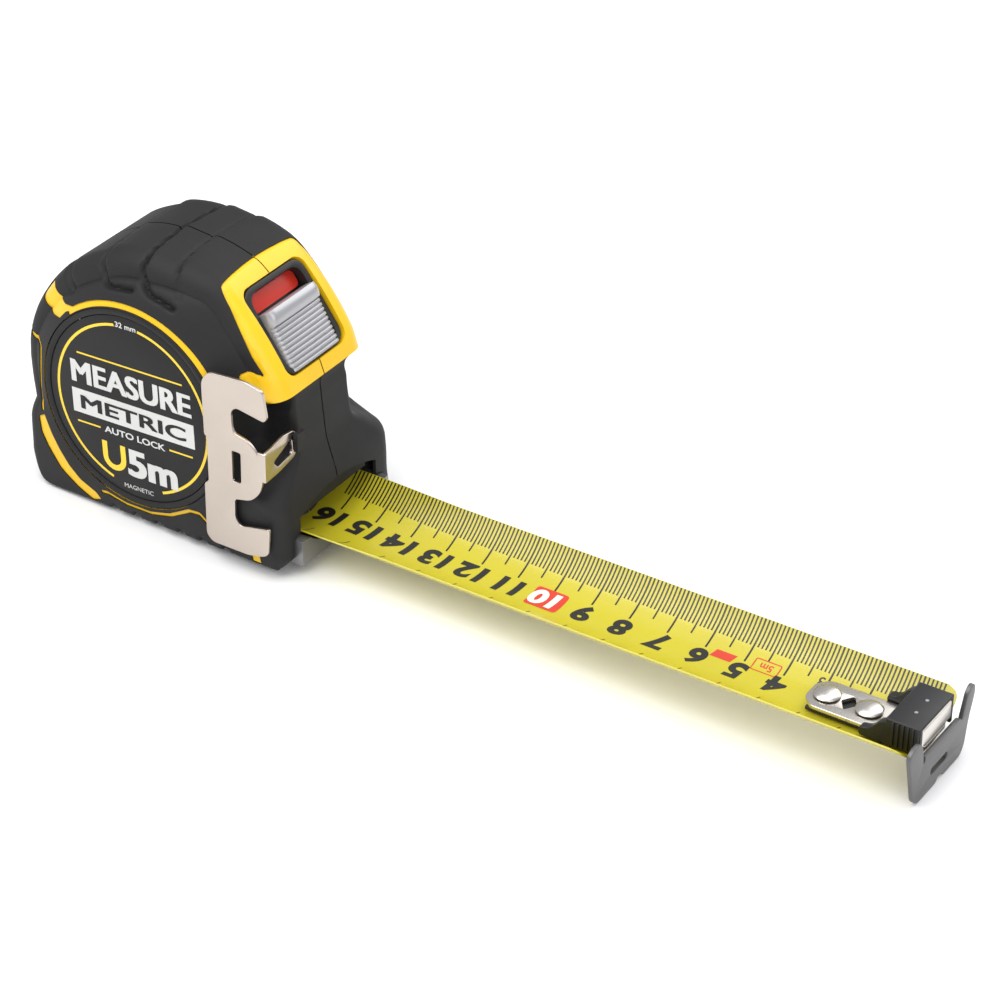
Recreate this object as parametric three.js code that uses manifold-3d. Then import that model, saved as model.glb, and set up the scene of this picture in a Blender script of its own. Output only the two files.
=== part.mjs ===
// Pocket tape measure: 5 m by 32 mm blade, thumb lock, magnetic hook, belt clip.
// Millimetres. +X is the way the blade comes out, +Z is up, the clip is on the -Y side.
// The origin is on the case's base, under the reel's axis, on the middle plane.
import * as THREE from 'three'
import { mergeVertices } from 'three/addons/utils/BufferGeometryUtils.js'
import Module from 'manifold-3d'

const wasm = await Module()
wasm.setup()

// Driving dimensions
const bladeWidth = 32
const armourThickness = 1.5
const shellWall = 2.2
const clearance = 0.3
const reelSideRoom = 3.3 // from the edge of the coil to the inside of the case
const caseLengthScale = 1 // stretches the case outline along X
const caseHeightScale = 1 // stretches the case outline along Z
const reelHeight = 30.9 * caseHeightScale
const faceRadius = 26.6 // yellow ring round the label
const labelRadius = 24.2
const bladeThickness = 0.4
const bladeEdgeHeight = 8
const freeRadius = 17.83 // of the blade's curved section out of the case
const mouthRadius = 21.34 // and where the mouth flattens it a little
const bladeTravel = 148 // from the length that is out to fully home
const hookFace = 199.7 // inner face of the hook plate, the scale's zero
const coilRadius = 23
const drumRadius = 16.3
const drumWall = 1.3
const postRadius = 4
const flangeThickness = 0.8
const sliderWidth = 18.5
const clipThickness = 0.9
const hookPlateThickness = 1.1
const triggerTravel = 2

const frontX = 42.2 * caseLengthScale
const shellInset = armourThickness + clearance
const cavityInset = shellInset + shellWall
const caseHalfWidth = bladeWidth / 2 + reelSideRoom + cavityInset
const mouthHalfWidth = bladeWidth / 2 + 2
const chordOf = (radius) => 2 * radius * Math.sin(bladeWidth / (2 * radius))
const freeChord = chordOf(freeRadius)
const mouthChord = chordOf(mouthRadius)

// Colours
const black = { color: 0x323032, roughness: 0.75, metalness: 0 }
const yellow = { color: 0xf5c516, roughness: 0.45, metalness: 0 }
const darkPlastic = { color: 0x1d1d1f, roughness: 0.5, metalness: 0 }
const silverPlastic = { color: 0xb9b9bb, roughness: 0.35, metalness: 0.3 }
const red = { color: 0xc83228, roughness: 0.4, metalness: 0 }
const nickel = { color: 0xded4cb, roughness: 0.3, metalness: 1 }
const steel = { color: 0xa9a9ac, roughness: 0.35, metalness: 1 }
const coatedSteel = { color: 0x55535a, roughness: 0.5, metalness: 0.6 }
const bladeYellow = { color: 0xd7cd32, roughness: 0.4, metalness: 0 }
const labelBlack = { color: 0x2a2829, roughness: 0.6, metalness: 0 }

const tape = new THREE.Group()

// --- solids ---------------------------------------------------------------

function toSolid(geometry) {
  let plain = geometry.clone()
  plain.deleteAttribute('normal')
  plain.deleteAttribute('uv')
  plain = mergeVertices(plain, 1e-4)
  return new wasm.Manifold(new wasm.Mesh({
    numProp: 3,
    vertProperties: new Float32Array(plain.attributes.position.array),
    triVerts: new Uint32Array(plain.index.array),
  }))
}

function toGeometry(solid) {
  const mesh = solid.getMesh()
  const geometry = new THREE.BufferGeometry()
  geometry.setAttribute('position', new THREE.BufferAttribute(mesh.vertProperties, 3))
  geometry.setIndex(new THREE.BufferAttribute(mesh.triVerts, 1))
  return geometry
}

function addPiece(name, shape, look) {
  const geometry = shape.getMesh ? toGeometry(shape) : shape
  const mesh = new THREE.Mesh(geometry, new THREE.MeshStandardMaterial(look))
  mesh.name = name
  tape.add(mesh)
}

function box(x0, x1, y0, y1, z0, z1) {
  const geometry = new THREE.BoxGeometry(x1 - x0, y1 - y0, z1 - z0)
  geometry.translate((x0 + x1) / 2, (y0 + y1) / 2, (z0 + z1) / 2)
  return toSolid(geometry)
}

// Cylinder along Y between two depths, centred on (x, z)
function barY(radius, y0, y1, x, z, sides = 32) {
  const geometry = new THREE.CylinderGeometry(radius, radius, y1 - y0, sides)
  geometry.translate(x, (y0 + y1) / 2, z)
  return toSolid(geometry)
}

function barZ(radius, z0, z1, x, y, sides = 24) {
  const geometry = new THREE.CylinderGeometry(radius, radius, z1 - z0, sides)
  geometry.rotateX(Math.PI / 2)
  geometry.translate(x, y, (z0 + z1) / 2)
  return toSolid(geometry)
}

function tubeY(outer, inner, y0, y1, x, z, sides = 48) {
  return barY(outer, y0, y1, x, z, sides).subtract(barY(inner, y0 - 1, y1 + 1, x, z, sides))
}

function shapeFrom(points) {
  const shape = new THREE.Shape()
  points.forEach(([u, v], i) => (i ? shape.lineTo(u, v) : shape.moveTo(u, v)))
  shape.closePath()
  return shape
}

// Outline in the XZ plane, extruded from y0 to y1
function slabXZ(points, y0, y1) {
  const geometry = new THREE.ExtrudeGeometry(shapeFrom(points), { depth: y1 - y0, bevelEnabled: false })
  geometry.rotateX(Math.PI / 2)
  geometry.translate(0, y1, 0)
  return toSolid(geometry)
}

// Outline in the YZ plane, extruded from x0 to x1
function slabYZ(points, x0, x1) {
  const geometry = new THREE.ExtrudeGeometry(shapeFrom(points), { depth: x1 - x0, bevelEnabled: false })
  geometry.rotateX(Math.PI / 2)
  geometry.rotateZ(Math.PI / 2)
  geometry.translate(x0, 0, 0)
  return toSolid(geometry)
}

// Ends of a loft of round sections: a fan about each end's middle
function fanEnds(rings, count, positions, index) {
  const middle = (ring) => ring.reduce((s, p) => [s[0] + p[0], s[1] + p[1], s[2] + p[2]], [0, 0, 0])
    .map((v) => v / count)
  const last = (rings.length - 1) * count
  const startCentre = rings.length * count
  positions.push(...middle(rings[0]), ...middle(rings[rings.length - 1]))
  for (let i = 0; i < count; i += 1) {
    const j = (i + 1) % count
    index.push(startCentre, j, i)
    index.push(startCentre + 1, last + i, last + j)
  }
}

// Ends of a loft of thin curved sections: quads from one long side to the other
function stripEnds(rings, count, positions, index) {
  const last = (rings.length - 1) * count
  for (let i = 0; i + 1 < count / 2; i += 1) {
    const far = count - 1 - i
    index.push(i, far, i + 1, i + 1, far, far - 1)
    index.push(last + i, last + i + 1, last + far, last + i + 1, last + far - 1, last + far)
  }
}

// Closed surface over rings of points that all have the same count
function loft(rings, closeEnds = fanEnds) {
  const count = rings[0].length
  const positions = []
  const index = []
  rings.forEach((ring) => ring.forEach((p) => positions.push(...p)))
  for (let r = 0; r + 1 < rings.length; r += 1) {
    for (let i = 0; i < count; i += 1) {
      const j = (i + 1) % count
      const a = r * count + i
      const b = r * count + j
      index.push(a, b, b + count, a, b + count, a + count)
    }
  }
  closeEnds(rings, count, positions, index)
  const geometry = new THREE.BufferGeometry()
  geometry.setAttribute('position', new THREE.Float32BufferAttribute(positions, 3))
  geometry.setIndex(index)
  return geometry
}

const mirrored = (solid) => solid.mirror([0, 1, 0])

// --- case -----------------------------------------------------------------

// Side view of the case. Each point: x, z, how much narrower each side is there than at the
// label, edge radius, and how late the side swells to the full width on the way in to the
// label (1 is even, 8 leaves a deep recess).
const outline = [
  [40.2, 0, 0.7, 1.2, 1],
  [42.2, 2.4, 0.5, 3.5, 1],
  [42.2, 12.2, 0.5, 4.5, 1],
  [41.5, 17.2, 0.9, 4.5, 1.2],
  [40.2, 21.3, 5.8, 3, 5],
  [39, 25.3, 11.1, 1.8, 8],
  [38.4, 30.2, 12.1, 1.5, 8],
  [37.8, 36, 12.1, 1.5, 8],
  [37.7, 40.7, 11.7, 1.5, 8],
  [38.8, 42.1, 6.3, 4.8, 2.6],
  [37.1, 46.4, 5.9, 5, 1.4],
  [33.6, 52, 5.8, 5, 1],
  [27.4, 60, 6, 5, 0.9],
  [21.3, 66, 6.3, 5, 0.8],
  [15.5, 68.2, 5.7, 5.5, 0.7],
  [8, 69.5, 5.3, 6, 0.6],
  [0, 69.5, 5.1, 6, 0.55],
  [-7.8, 68, 4.9, 6, 0.55],
  [-15.5, 64.5, 4.7, 6, 0.55],
  [-22.8, 59.2, 4.3, 5.5, 0.6],
  [-28.6, 52.4, 3.7, 5, 0.7],
  [-32.4, 44.9, 3.1, 4.5, 0.8],
  [-33.8, 37.6, 2.5, 4, 0.9],
  [-33.5, 29.9, 2.1, 4, 0.9],
  [-32.3, 22.4, 1.9, 3.5, 1],
  [-33.3, 19.6, 1.5, 3.5, 1],
  [-33.8, 17, 1.3, 3.5, 1],
  [-33.4, 6, 1.1, 3.5, 1],
  [-30, 0.8, 0.9, 1.4, 1],
  [-27, 0, 0.7, 1.2, 1],
]
const edgeSteps = [0, 0.3, 0.65, 1] // quarter turn round the edge, in shares of 90 degrees
const swellSteps = [0.35, 0.7]

// Left half of the case, `inset` under the outer skin, from yStart out to the label face
function caseHalf(inset, yStart) {
  const rays = outline.map(([px, pz, narrower, radius, late]) => {
    const x = px * caseLengthScale
    const z = pz * caseHeightScale - reelHeight
    const reach = Math.hypot(x, z)
    return {
      ux: x / reach,
      uz: z / reach,
      reach: reach - inset,
      width: caseHalfWidth - narrower - inset,
      radius: Math.max(radius - inset, 0.4),
      late,
    }
  })
  const ring = (place) => rays.map((ray) => {
    const [distance, y] = place(ray)
    return [ray.ux * distance, -y, reelHeight + ray.uz * distance]
  })
  const faceReach = (ray) => Math.min(faceRadius + 0.4, ray.reach - ray.radius - 0.5)
  const side = caseHalfWidth - inset
  const rings = [ring((ray) => [ray.reach, -yStart])]
  edgeSteps.forEach((share) => {
    const angle = (share * Math.PI) / 2
    rings.push(ring((ray) => [
      ray.reach - ray.radius * (1 - Math.cos(angle)),
      ray.width - ray.radius * (1 - Math.sin(angle)),
    ]))
  })
  swellSteps.forEach((share) => {
    rings.push(ring((ray) => {
      const from = ray.reach - ray.radius
      return [
        from + (faceReach(ray) - from) * share,
        ray.width + (side - ray.width) * share ** ray.late,
      ]
    }))
  })
  rings.push(ring((ray) => [faceReach(ray), side]))
  return toSolid(loft(rings))
}

// Side view of the yellow surround of the thumb lock
const surroundOutline = [
  [20, 75],
  [18.6, 66],
  [22.6, 58.6],
  [28.8, 51.2],
  [31.6, 46],
  [32, 41.6],
  [46, 41.6],
  [46, 75],
].map(([x, z]) => [x * caseLengthScale, z * caseHeightScale])

const grown = (points, by) => {
  const cx = points.reduce((s, p) => s + p[0], 0) / points.length
  const cz = points.reduce((s, p) => s + p[1], 0) / points.length
  return points.map(([x, z]) => {
    const d = Math.hypot(x - cx, z - cz)
    return [x + ((x - cx) / d) * by, z + ((z - cz) / d) * by]
  })
}

// Frame of the sloping front: `along` runs up the slope, `out` stands off it
const slopeTop = new THREE.Vector2(21.3 * caseLengthScale, 66 * caseHeightScale)
const slopeFoot = new THREE.Vector2(38.8 * caseLengthScale, 42.1 * caseHeightScale)
const slopeLength = slopeTop.distanceTo(slopeFoot)
const along = slopeTop.clone().sub(slopeFoot).normalize()
const out = new THREE.Vector2(along.y, -along.x)

// Point on the slope: distance up it from its foot, and height off it
function onSlope(up, off) {
  return [
    slopeFoot.x + along.x * up + out.x * off,
    slopeFoot.y + along.y * up + out.y * off,
  ]
}

// Four-cornered slab that lies on the slope
function slopeSlab(up0, up1, off0, off1, y0, y1) {
  return slabXZ([onSlope(up0, off0), onSlope(up1, off0), onSlope(up1, off1), onSlope(up0, off1)], y0, y1)
}

const windowHalfWidth = sliderWidth / 2 + 2.35
const windowFoot = 3.6
const windowTop = slopeLength - 3
const windowCut = slopeSlab(windowFoot, windowTop, -9, 9, -windowHalfWidth, windowHalfWidth)
const mouthSide = 10.6
const mouthCrown = 15
const buttonBack = 36
const channelFloor = 1.7
const crownAt = (y) => mouthCrown - (mouthCrown - mouthSide) * (y / mouthHalfWidth) ** 2
// Opening under the arch of the mouth, down to a floor height
function archFrom(floor) {
  const points = [[-mouthHalfWidth, floor], [mouthHalfWidth, floor]]
  for (let i = 0; i <= 12; i += 1) {
    const y = (1 - i / 6) * mouthHalfWidth
    points.push([y, crownAt(y)])
  }
  return points
}
const tongueStart = hookFace - 31
const rivetSpots = [hookFace - 26.8, hookFace - 16.4]
const channelEnd = tongueStart - bladeTravel - 1.2
const grooveEnd = rivetSpots[0] - bladeTravel - 2.4
// The mouth is open underneath for the release button. Behind it a channel takes the hook's
// tongue when the blade is home, with a groove for the rivets.
const mouthCut = slabYZ(archFrom(channelFloor), 30, 60)
  .add(slabYZ(archFrom(-2), buttonBack - triggerTravel - 0.2, 60))
  .add(box(channelEnd, 31, -6.2, 6.2, channelFloor, 6))
  .add(box(grooveEnd, 37, -2, 2, 0.6, 3))
const labelCut = barY(faceRadius + clearance, -40, -caseHalfWidth + armourThickness + 3, 0, reelHeight, 64)
const screwSpots = [
  [-21.8, 50.6],
  [-27.5, 9],
  [26.5, 19.4],
  [13, 60.6],
].map(([x, z]) => [x * caseLengthScale, z * caseHeightScale])

const skinFull = caseHalf(0, -0.15)
const skinUnderArmour = caseHalf(armourThickness, 2)
const surroundZone = slabXZ(surroundOutline, -40, 2)
const surroundRoom = slabXZ(grown(surroundOutline, clearance), -40, 2)
const shellCore = caseHalf(shellInset, -0.15)
const cavity = caseHalf(cavityInset, 2)

// Pads of rubber under the base leave the armour whole there: the treads are cut across Y
function treadCuts() {
  const cuts = []
  const pitch = 7.2
  for (let x = -22; x < 34; x += pitch) {
    cuts.push(box(x, x + 1.2, -40, -15, -1, 0.6))
  }
  return cuts
}

function buildArmour() {
  let armour = skinFull.subtract(skinUnderArmour).subtract(labelCut)
  armour = armour.subtract(surroundRoom).subtract(mouthCut)
  treadCuts().forEach((cut) => {
    armour = armour.subtract(cut)
  })
  return armour
}

function buildShell() {
  let shell = shellCore.add(skinFull.intersect(surroundZone))
  const ring = tubeY(faceRadius, labelRadius + clearance, -caseHalfWidth, -caseHalfWidth + 4, 0, reelHeight, 64)
  shell = shell.add(ring)
  shell = shell.subtract(cavity).subtract(windowCut).subtract(mouthCut)
  return shell
}

const leftArmour = buildArmour()
let leftShell = buildShell()
const headRadius = 2.4
const shankRadius = 1.2
const bossRadius = 2.8
const headSeat = caseHalfWidth - 6.8
const bossEnd = caseHalfWidth - 3.8
let rightArmour = mirrored(leftArmour)
let rightShell = mirrored(leftShell)
screwSpots.forEach(([x, z]) => {
  leftShell = leftShell.add(barY(bossRadius, -bossEnd, -6, x, z, 20).intersect(shellCore))
  leftShell = leftShell.subtract(barY(shankRadius + clearance, -14, 1, x, z, 20))
  rightShell = rightShell.add(barY(bossRadius + 0.6, 6, bossEnd, x, z, 20).intersect(mirrored(shellCore)))
  rightShell = rightShell.subtract(barY(shankRadius + clearance, 5, 30, x, z, 20))
  rightShell = rightShell.subtract(barY(headRadius + clearance, headSeat, 30, x, z, 20))
  rightArmour = rightArmour.subtract(barY(headRadius + clearance, headSeat, 30, x, z, 20))
})

const mainBody = (solid) => solid.decompose().sort((a, b) => b.volume() - a.volume())[0]

addPiece('left_shell', mainBody(leftShell), yellow)
addPiece('right_shell', mainBody(rightShell), yellow)
addPiece('left_armour', mainBody(leftArmour), black)
addPiece('right_armour', mainBody(rightArmour), black)

screwSpots.forEach(([x, z], i) => {
  const headTop = headSeat + clearance + 2
  const head = barY(headRadius, headSeat + clearance, headTop, x, z, 20)
  const shank = barY(shankRadius, -11, headSeat + 1.5, x, z, 16)
  const cross = box(x - 1.4, x + 1.4, headTop - 1, headTop + 3, z - 0.35, z + 0.35)
    .add(box(x - 0.35, x + 0.35, headTop - 1, headTop + 3, z - 1.4, z + 1.4))
  addPiece(`case_screw_${i + 1}`, head.add(shank).subtract(cross), steel)
})

// Printed discs in the round recess of each side
const labelDisc = barY(labelRadius, -caseHalfWidth + 0.3, -caseHalfWidth + armourThickness, 0, reelHeight, 64)
addPiece('left_label', labelDisc, labelBlack)
addPiece('right_label', mirrored(labelDisc), labelBlack)

// --- reel -----------------------------------------------------------------

const reelHalfWidth = bladeWidth / 2
addPiece('blade_coil', tubeY(coilRadius, drumRadius + clearance, -reelHalfWidth, reelHalfWidth, 0, reelHeight), bladeYellow)
const drum = tubeY(drumRadius, drumRadius - drumWall, -reelHalfWidth, reelHalfWidth + clearance + flangeThickness,
  0, reelHeight)
const flange = tubeY(coilRadius + 0.5, postRadius + clearance, reelHalfWidth + clearance,
  reelHalfWidth + clearance + flangeThickness, 0, reelHeight)
addPiece('reel_drum', drum.add(flange), darkPlastic)
addPiece('reel_cover', mirrored(flange), darkPlastic)

const postEnd = reelHalfWidth + clearance * 2 + flangeThickness + 0.9
const springHalf = reelHalfWidth - 3
const springSlot = box(-0.4, 0.4, -springHalf, springHalf, reelHeight - 10, reelHeight)
addPiece('centre_post', barY(postRadius, -postEnd, postEnd, 0, reelHeight).subtract(springSlot), steel)

// Flat spiral spring between the post and the drum
function spiralSpring() {
  const turns = 5
  const inner = postRadius + 0.6
  const outer = drumRadius - drumWall - 0.7
  const stripHalf = 0.25
  const steps = turns * 20
  const edge = (side) => Array.from({ length: steps + 1 }, (_, i) => {
    const angle = (i / steps) * turns * 2 * Math.PI
    const radius = inner + ((outer - inner) * i) / steps + side * stripHalf
    return [Math.cos(angle) * radius, reelHeight + Math.sin(angle) * radius]
  })
  const points = [...edge(1), ...edge(-1).reverse()]
  return slabXZ(points, -springHalf, springHalf)
}
addPiece('power_spring', spiralSpring(), steel)

// --- blade ----------------------------------------------------------------

// Half angle and radius of an arc of the blade's width over a given chord
function bladeArc(chord) {
  let angle = 1
  for (let i = 0; i < 40; i += 1) {
    angle -= (Math.sin(angle) - (angle * chord) / bladeWidth) / (Math.cos(angle) - chord / bladeWidth)
  }
  return { angle, radius: bladeWidth / (2 * angle) }
}

const bladeStart = 6
const bladeEnd = hookFace - 1.6
const chordFreeAt = 68
const sectionSteps = 14

function bladeRing(x, chord, trim = 1) {
  const { angle, radius } = bladeArc(chord)
  const centre = bladeEdgeHeight + radius * Math.cos(angle)
  const arc = (r, from, to) => Array.from({ length: sectionSteps + 1 }, (_, i) => {
    const a = (from + ((to - from) * i) / sectionSteps) * trim
    return [x, r * Math.sin(a), centre - r * Math.cos(a)]
  })
  return [...arc(radius, -angle, angle), ...arc(radius + bladeThickness, angle, -angle)]
}

function bladeStrip() {
  const rings = [
    bladeRing(bladeStart, bladeWidth - 0.05),
    bladeRing(frontX * 0.45, bladeWidth - 0.3),
    bladeRing(frontX * 0.62, bladeWidth - 1.1),
    bladeRing(frontX - 11.6, mouthChord),
    bladeRing(frontX, mouthChord),
    bladeRing((frontX + chordFreeAt) / 2, (mouthChord + 2 * freeChord) / 3),
    bladeRing(chordFreeAt, freeChord),
    bladeRing(bladeEnd - 3, freeChord),
    bladeRing(bladeEnd - 0.9, freeChord, 0.96),
    bladeRing(bladeEnd, freeChord, 0.88),
  ]
  return toSolid(loft(rings.reverse(), stripEnds))
}
const strip = bladeStrip()
const freeSag = (() => {
  const { angle, radius } = bladeArc(freeChord)
  return radius * (1 - Math.cos(angle))
})()
const bladeFloor = bladeEdgeHeight - freeSag // top of the blade along its middle
const rivetShank = 1.4
let drilledStrip = strip
rivetSpots.forEach((x) => {
  drilledStrip = drilledStrip.subtract(barZ(rivetShank + clearance, bladeFloor - 3, bladeFloor + 3, x, 0, 20))
})
addPiece('blade_strip', drilledStrip, bladeYellow)

// --- hook -----------------------------------------------------------------

const tongueFloor = bladeFloor + 2.3
const tongueTop = tongueFloor + 1
const hookFloat = 1
const spacerTop = tongueFloor - clearance
const slotHalf = rivetShank + clearance
const rivetHead = 3.2

function rivet(x) {
  return barZ(rivetShank, bladeFloor - bladeThickness, tongueTop + 1.3, x, 0, 20)
    .add(barZ(rivetHead, tongueTop + clearance, tongueTop + 1.3, x, 0, 28))
}
rivetSpots.forEach((x, i) => addPiece(`hook_rivet_${i + 1}`, rivet(x), nickel))

function slotAt(x, z0, z1) {
  return box(x - hookFloat / 2, x + hookFloat / 2 + 0.6, -slotHalf, slotHalf, z0, z1)
    .add(barZ(slotHalf, z0, z1, x - hookFloat / 2, 0, 20))
    .add(barZ(slotHalf, z0, z1, x + hookFloat / 2 + 0.6, 0, 20))
}

const tongueHalf = 5.4
const tongueOutline = (half, from, to) => [
  [from + 2.6, -half],
  [to, -half],
  [to, half],
  [from + 2.6, half],
  [from, half - 2.6],
  [from, -half + 2.6],
]
function slabXY(points, z0, z1) {
  const geometry = new THREE.ExtrudeGeometry(shapeFrom(points), { depth: z1 - z0, bevelEnabled: false })
  geometry.translate(0, 0, z0)
  return toSolid(geometry)
}
const housingBack = hookFace - 8.8
const tongueEnd = hookFace - clearance
let tongue = slabXY(tongueOutline(tongueHalf, tongueStart, tongueEnd), tongueFloor, tongueTop)
rivetSpots.forEach((x) => {
  tongue = tongue.subtract(slotAt(x, tongueFloor - 1, tongueTop + 1))
})
tongue = tongue.subtract(box(rivetSpots[0] + 3.7, rivetSpots[1] - 3.3, -2.6, 2.6, tongueFloor - 1, tongueTop + 1))
addPiece('hook_tongue', tongue, nickel)

const housingHalf = 8.4
const housingTop = bladeEdgeHeight + 2.6
const magnetHalf = 6.8
const magnetFloor = tongueTop + clearance * 2
const magnetTop = magnetFloor + 4.6
const magnetBack = hookFace - 6.4
const blockFloor = bladeFloor + 0.9
const bladeRoom = (x0, x1, extra) => {
  const { angle, radius } = bladeArc(freeChord)
  const r = radius - extra
  const centre = bladeEdgeHeight + radius * Math.cos(angle)
  const arc = Array.from({ length: 19 }, (_, i) => {
    const a = -1.25 + (2.5 * i) / 18
    return [r * Math.sin(a), centre - r * Math.cos(a)]
  })
  const wide = [[-20, arc[0][1]], [-20, -6], [20, -6], [20, arc[18][1]]]
  return slabYZ([...arc.reverse(), ...wide], x0, x1)
}

function magnetHousing() {
  let housing = box(housingBack, hookFace - clearance, -housingHalf, housingHalf, blockFloor, housingTop)
  const wing = slabXZ([
    [housingBack - 6.4, tongueFloor],
    [housingBack + 1, tongueFloor],
    [housingBack + 1, housingTop - 1],
    [housingBack - 2, housingTop - 2.4],
    [housingBack - 6.4, tongueTop + 2],
  ], -housingHalf + 0.4, -tongueHalf - clearance)
  housing = housing.add(wing).add(mirrored(wing))
  const spacer = slabXY(tongueOutline(tongueHalf - 0.6, tongueStart + 1.2, housingBack + 1), spacerTop - 1.2, spacerTop)
  housing = housing.add(spacer)
  housing = housing.subtract(box(magnetBack - clearance, hookFace + 1, -magnetHalf - clearance,
    magnetHalf + clearance, magnetFloor - clearance, magnetTop + clearance))
  housing = housing.subtract(box(housingBack - 4, hookFace + 1, -tongueHalf - clearance,
    tongueHalf + clearance, spacerTop, tongueTop + clearance))
  rivetSpots.forEach((x) => {
    housing = housing.subtract(slotAt(x, spacerTop - 3, spacerTop + 0.1))
  })
  for (let i = 0; i < 6; i += 1) {
    const x = housingBack + 0.9 + i * 1.2
    const groove = box(x, x + 0.5, -housingHalf - 1, -housingHalf + 0.4, blockFloor - 1, housingTop + 1)
    housing = housing.subtract(groove).subtract(mirrored(groove))
  }
  return mainBody(housing.subtract(bladeRoom(tongueStart - 5, hookFace, clearance)))
}
addPiece('magnet_housing', magnetHousing(), darkPlastic)
addPiece('hook_magnet', box(magnetBack, hookFace - 0.2, -magnetHalf, magnetHalf, magnetFloor, magnetTop), nickel)

const hookOutline = [
  [-15.4, 7.8],
  [-11.9, -5.6],
  [-9.9, -7.3],
  [-1, -7.3],
  [0, -6.3],
  [1.6, -6.3],
  [2.6, -7.3],
  [11, -7.3],
  [12.6, -5.4],
  [13.8, 1.2],
  [15.8, 6.6],
  [15.8, 8.8],
  [14.9, 9.8],
  [13.5, 9.6],
  [12.4, 8.6],
  [10.2, 2.6],
  [9.2, 3.9],
  [-7.4, 3.9],
  [-7.4, 2.4],
  [-8.2, 2.4],
  [-8.6, 6.4],
  [-10.3, 9.3],
  [-13.6, 9.3],
]
let hookPlate = slabYZ(hookOutline, hookFace, hookFace + hookPlateThickness)
hookPlate = hookPlate.subtract(box(hookFace - 1, hookFace + 3, -4, 4, -3.4, -1.6))
addPiece('hook_plate', hookPlate, coatedSteel)

// --- thumb lock -----------------------------------------------------------

const frameWall = 2
const frameFoot = windowFoot + clearance
const frameTop = windowTop - clearance
const frameHalf = windowHalfWidth - clearance
const frameRise = 0.9
function sliderFrame() {
  const body = slopeSlab(frameFoot, frameTop, -3.4, frameRise, -frameHalf, frameHalf)
  const hole = slopeSlab(frameFoot - 1, frameTop - frameWall, -9, 9, -frameHalf + frameWall, frameHalf - frameWall)
  const foot = slopeSlab(frameFoot, frameTop, -3.4, -2.4, -frameHalf, frameHalf)
  const track = slopeSlab(frameFoot + 3, frameTop - 3, -9, 9, -2.4, 2.4)
  return body.subtract(hole).add(foot).subtract(track)
}
addPiece('slider_frame', sliderFrame(), darkPlastic)

const sliderFoot = frameFoot + 0.4
const sliderLength = 15.2
const sliderTop = sliderFoot + sliderLength
const sliderBase = -1.6
function thumbSlider() {
  const half = sliderWidth / 2
  const ribs = 10
  const ribPitch = 1.15
  const profile = [onSlope(sliderFoot, sliderBase), onSlope(sliderFoot, 1.2)]
  for (let i = 0; i < ribs; i += 1) {
    const up = sliderFoot + i * ribPitch
    const rise = 1.7 + 1.3 * (i / ribs)
    profile.push(onSlope(up + 0.1, rise), onSlope(up + 0.75, rise + 0.15))
    profile.push(onSlope(up + 0.8, rise - 0.4), onSlope(up + 1.1, rise - 0.35))
  }
  profile.push(onSlope(sliderFoot + 11.8, 4), onSlope(sliderFoot + 14, 4.2))
  profile.push(onSlope(sliderTop, 3.2), onSlope(sliderTop, sliderBase))
  return slabXZ(profile, -half, half)
}
addPiece('lock_slider', thumbSlider(), silverPlastic)

// Carrier under the slider: a stem through the track and a tongue behind it
const stem = slopeSlab(sliderFoot + 3.4, sliderFoot + 10, -4.6, sliderBase - clearance, -2, 2)
const backPlate = slopeSlab(sliderFoot + 1, sliderFoot + 12, -5.6, -3.8, -6, 6)
addPiece('slider_carrier', stem.add(backPlate), darkPlastic)

const flag = slopeSlab(sliderTop + 0.5, frameTop - frameWall - clearance, -2.1, -1.7,
  -frameHalf + frameWall + clearance, frameHalf - frameWall - clearance)
addPiece('lock_flag', flag.subtract(slopeSlab(frameFoot + 3, frameTop - 2.7, -9, 9, -2.4, 2.4)), red)

// Brake over the blade, behind the mouth: a bridge on two feet that leaves a way through for
// the hook's tongue and rivets, with a stem up to its leaf spring
const brakeX = 33
const brakeFootIn = 9
const brakeFootOut = 11
const bridgeFloor = 7.5
const stemTop = 15
const mouthBlade = bladeArc(mouthChord)
const mouthCentre = bladeEdgeHeight + mouthBlade.radius * Math.cos(mouthBlade.angle)
const bladeTopAt = (y) => mouthCentre - Math.sqrt(mouthBlade.radius ** 2 - y ** 2)
const footSection = (side) => [
  [side * brakeFootIn, bladeTopAt(brakeFootIn) + clearance],
  [side * brakeFootOut, bladeTopAt(brakeFootOut) + clearance],
  [side * brakeFootOut, bridgeFloor + 1],
  [side * brakeFootIn, bridgeFloor + 1],
]
const brakePad = box(brakeX - 1.6, brakeX + 1.6, -brakeFootOut, brakeFootOut, bridgeFloor, bridgeFloor + 2)
  .add(slabYZ(footSection(1), brakeX - 1.6, brakeX + 1.6))
  .add(slabYZ(footSection(-1).reverse(), brakeX - 1.6, brakeX + 1.6))
  .add(box(brakeX - 1, brakeX + 1, -2.5, 2.5, bridgeFloor + 1, stemTop))
addPiece('brake_pad', brakePad, darkPlastic)

// Bumper under the crown of the mouth: it takes the blow when the hook comes home
function hookBumper() {
  const half = 12.6
  const points = [[-half, 11.2], [half, 11.2]]
  for (let i = 0; i <= 8; i += 1) {
    const y = half * (1 - i / 4)
    points.push([y, crownAt(y) - clearance])
  }
  return slabYZ(points, 38, 41)
}
addPiece('hook_bumper', hookBumper(), black)

// Bent leaf from the front wall of the case to the top of the brake's stem
const leafFloor = 16.4
const leafSpring = box(brakeX - 1, 35.8, -2.4, 2.4, leafFloor, leafFloor + 0.4)
  .add(box(35.4, 35.8, -2.4, 2.4, leafFloor, leafFloor + 5))
addPiece('brake_leaf_spring', leafSpring, steel)

// --- release button under the blade ----------------------------------------

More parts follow.
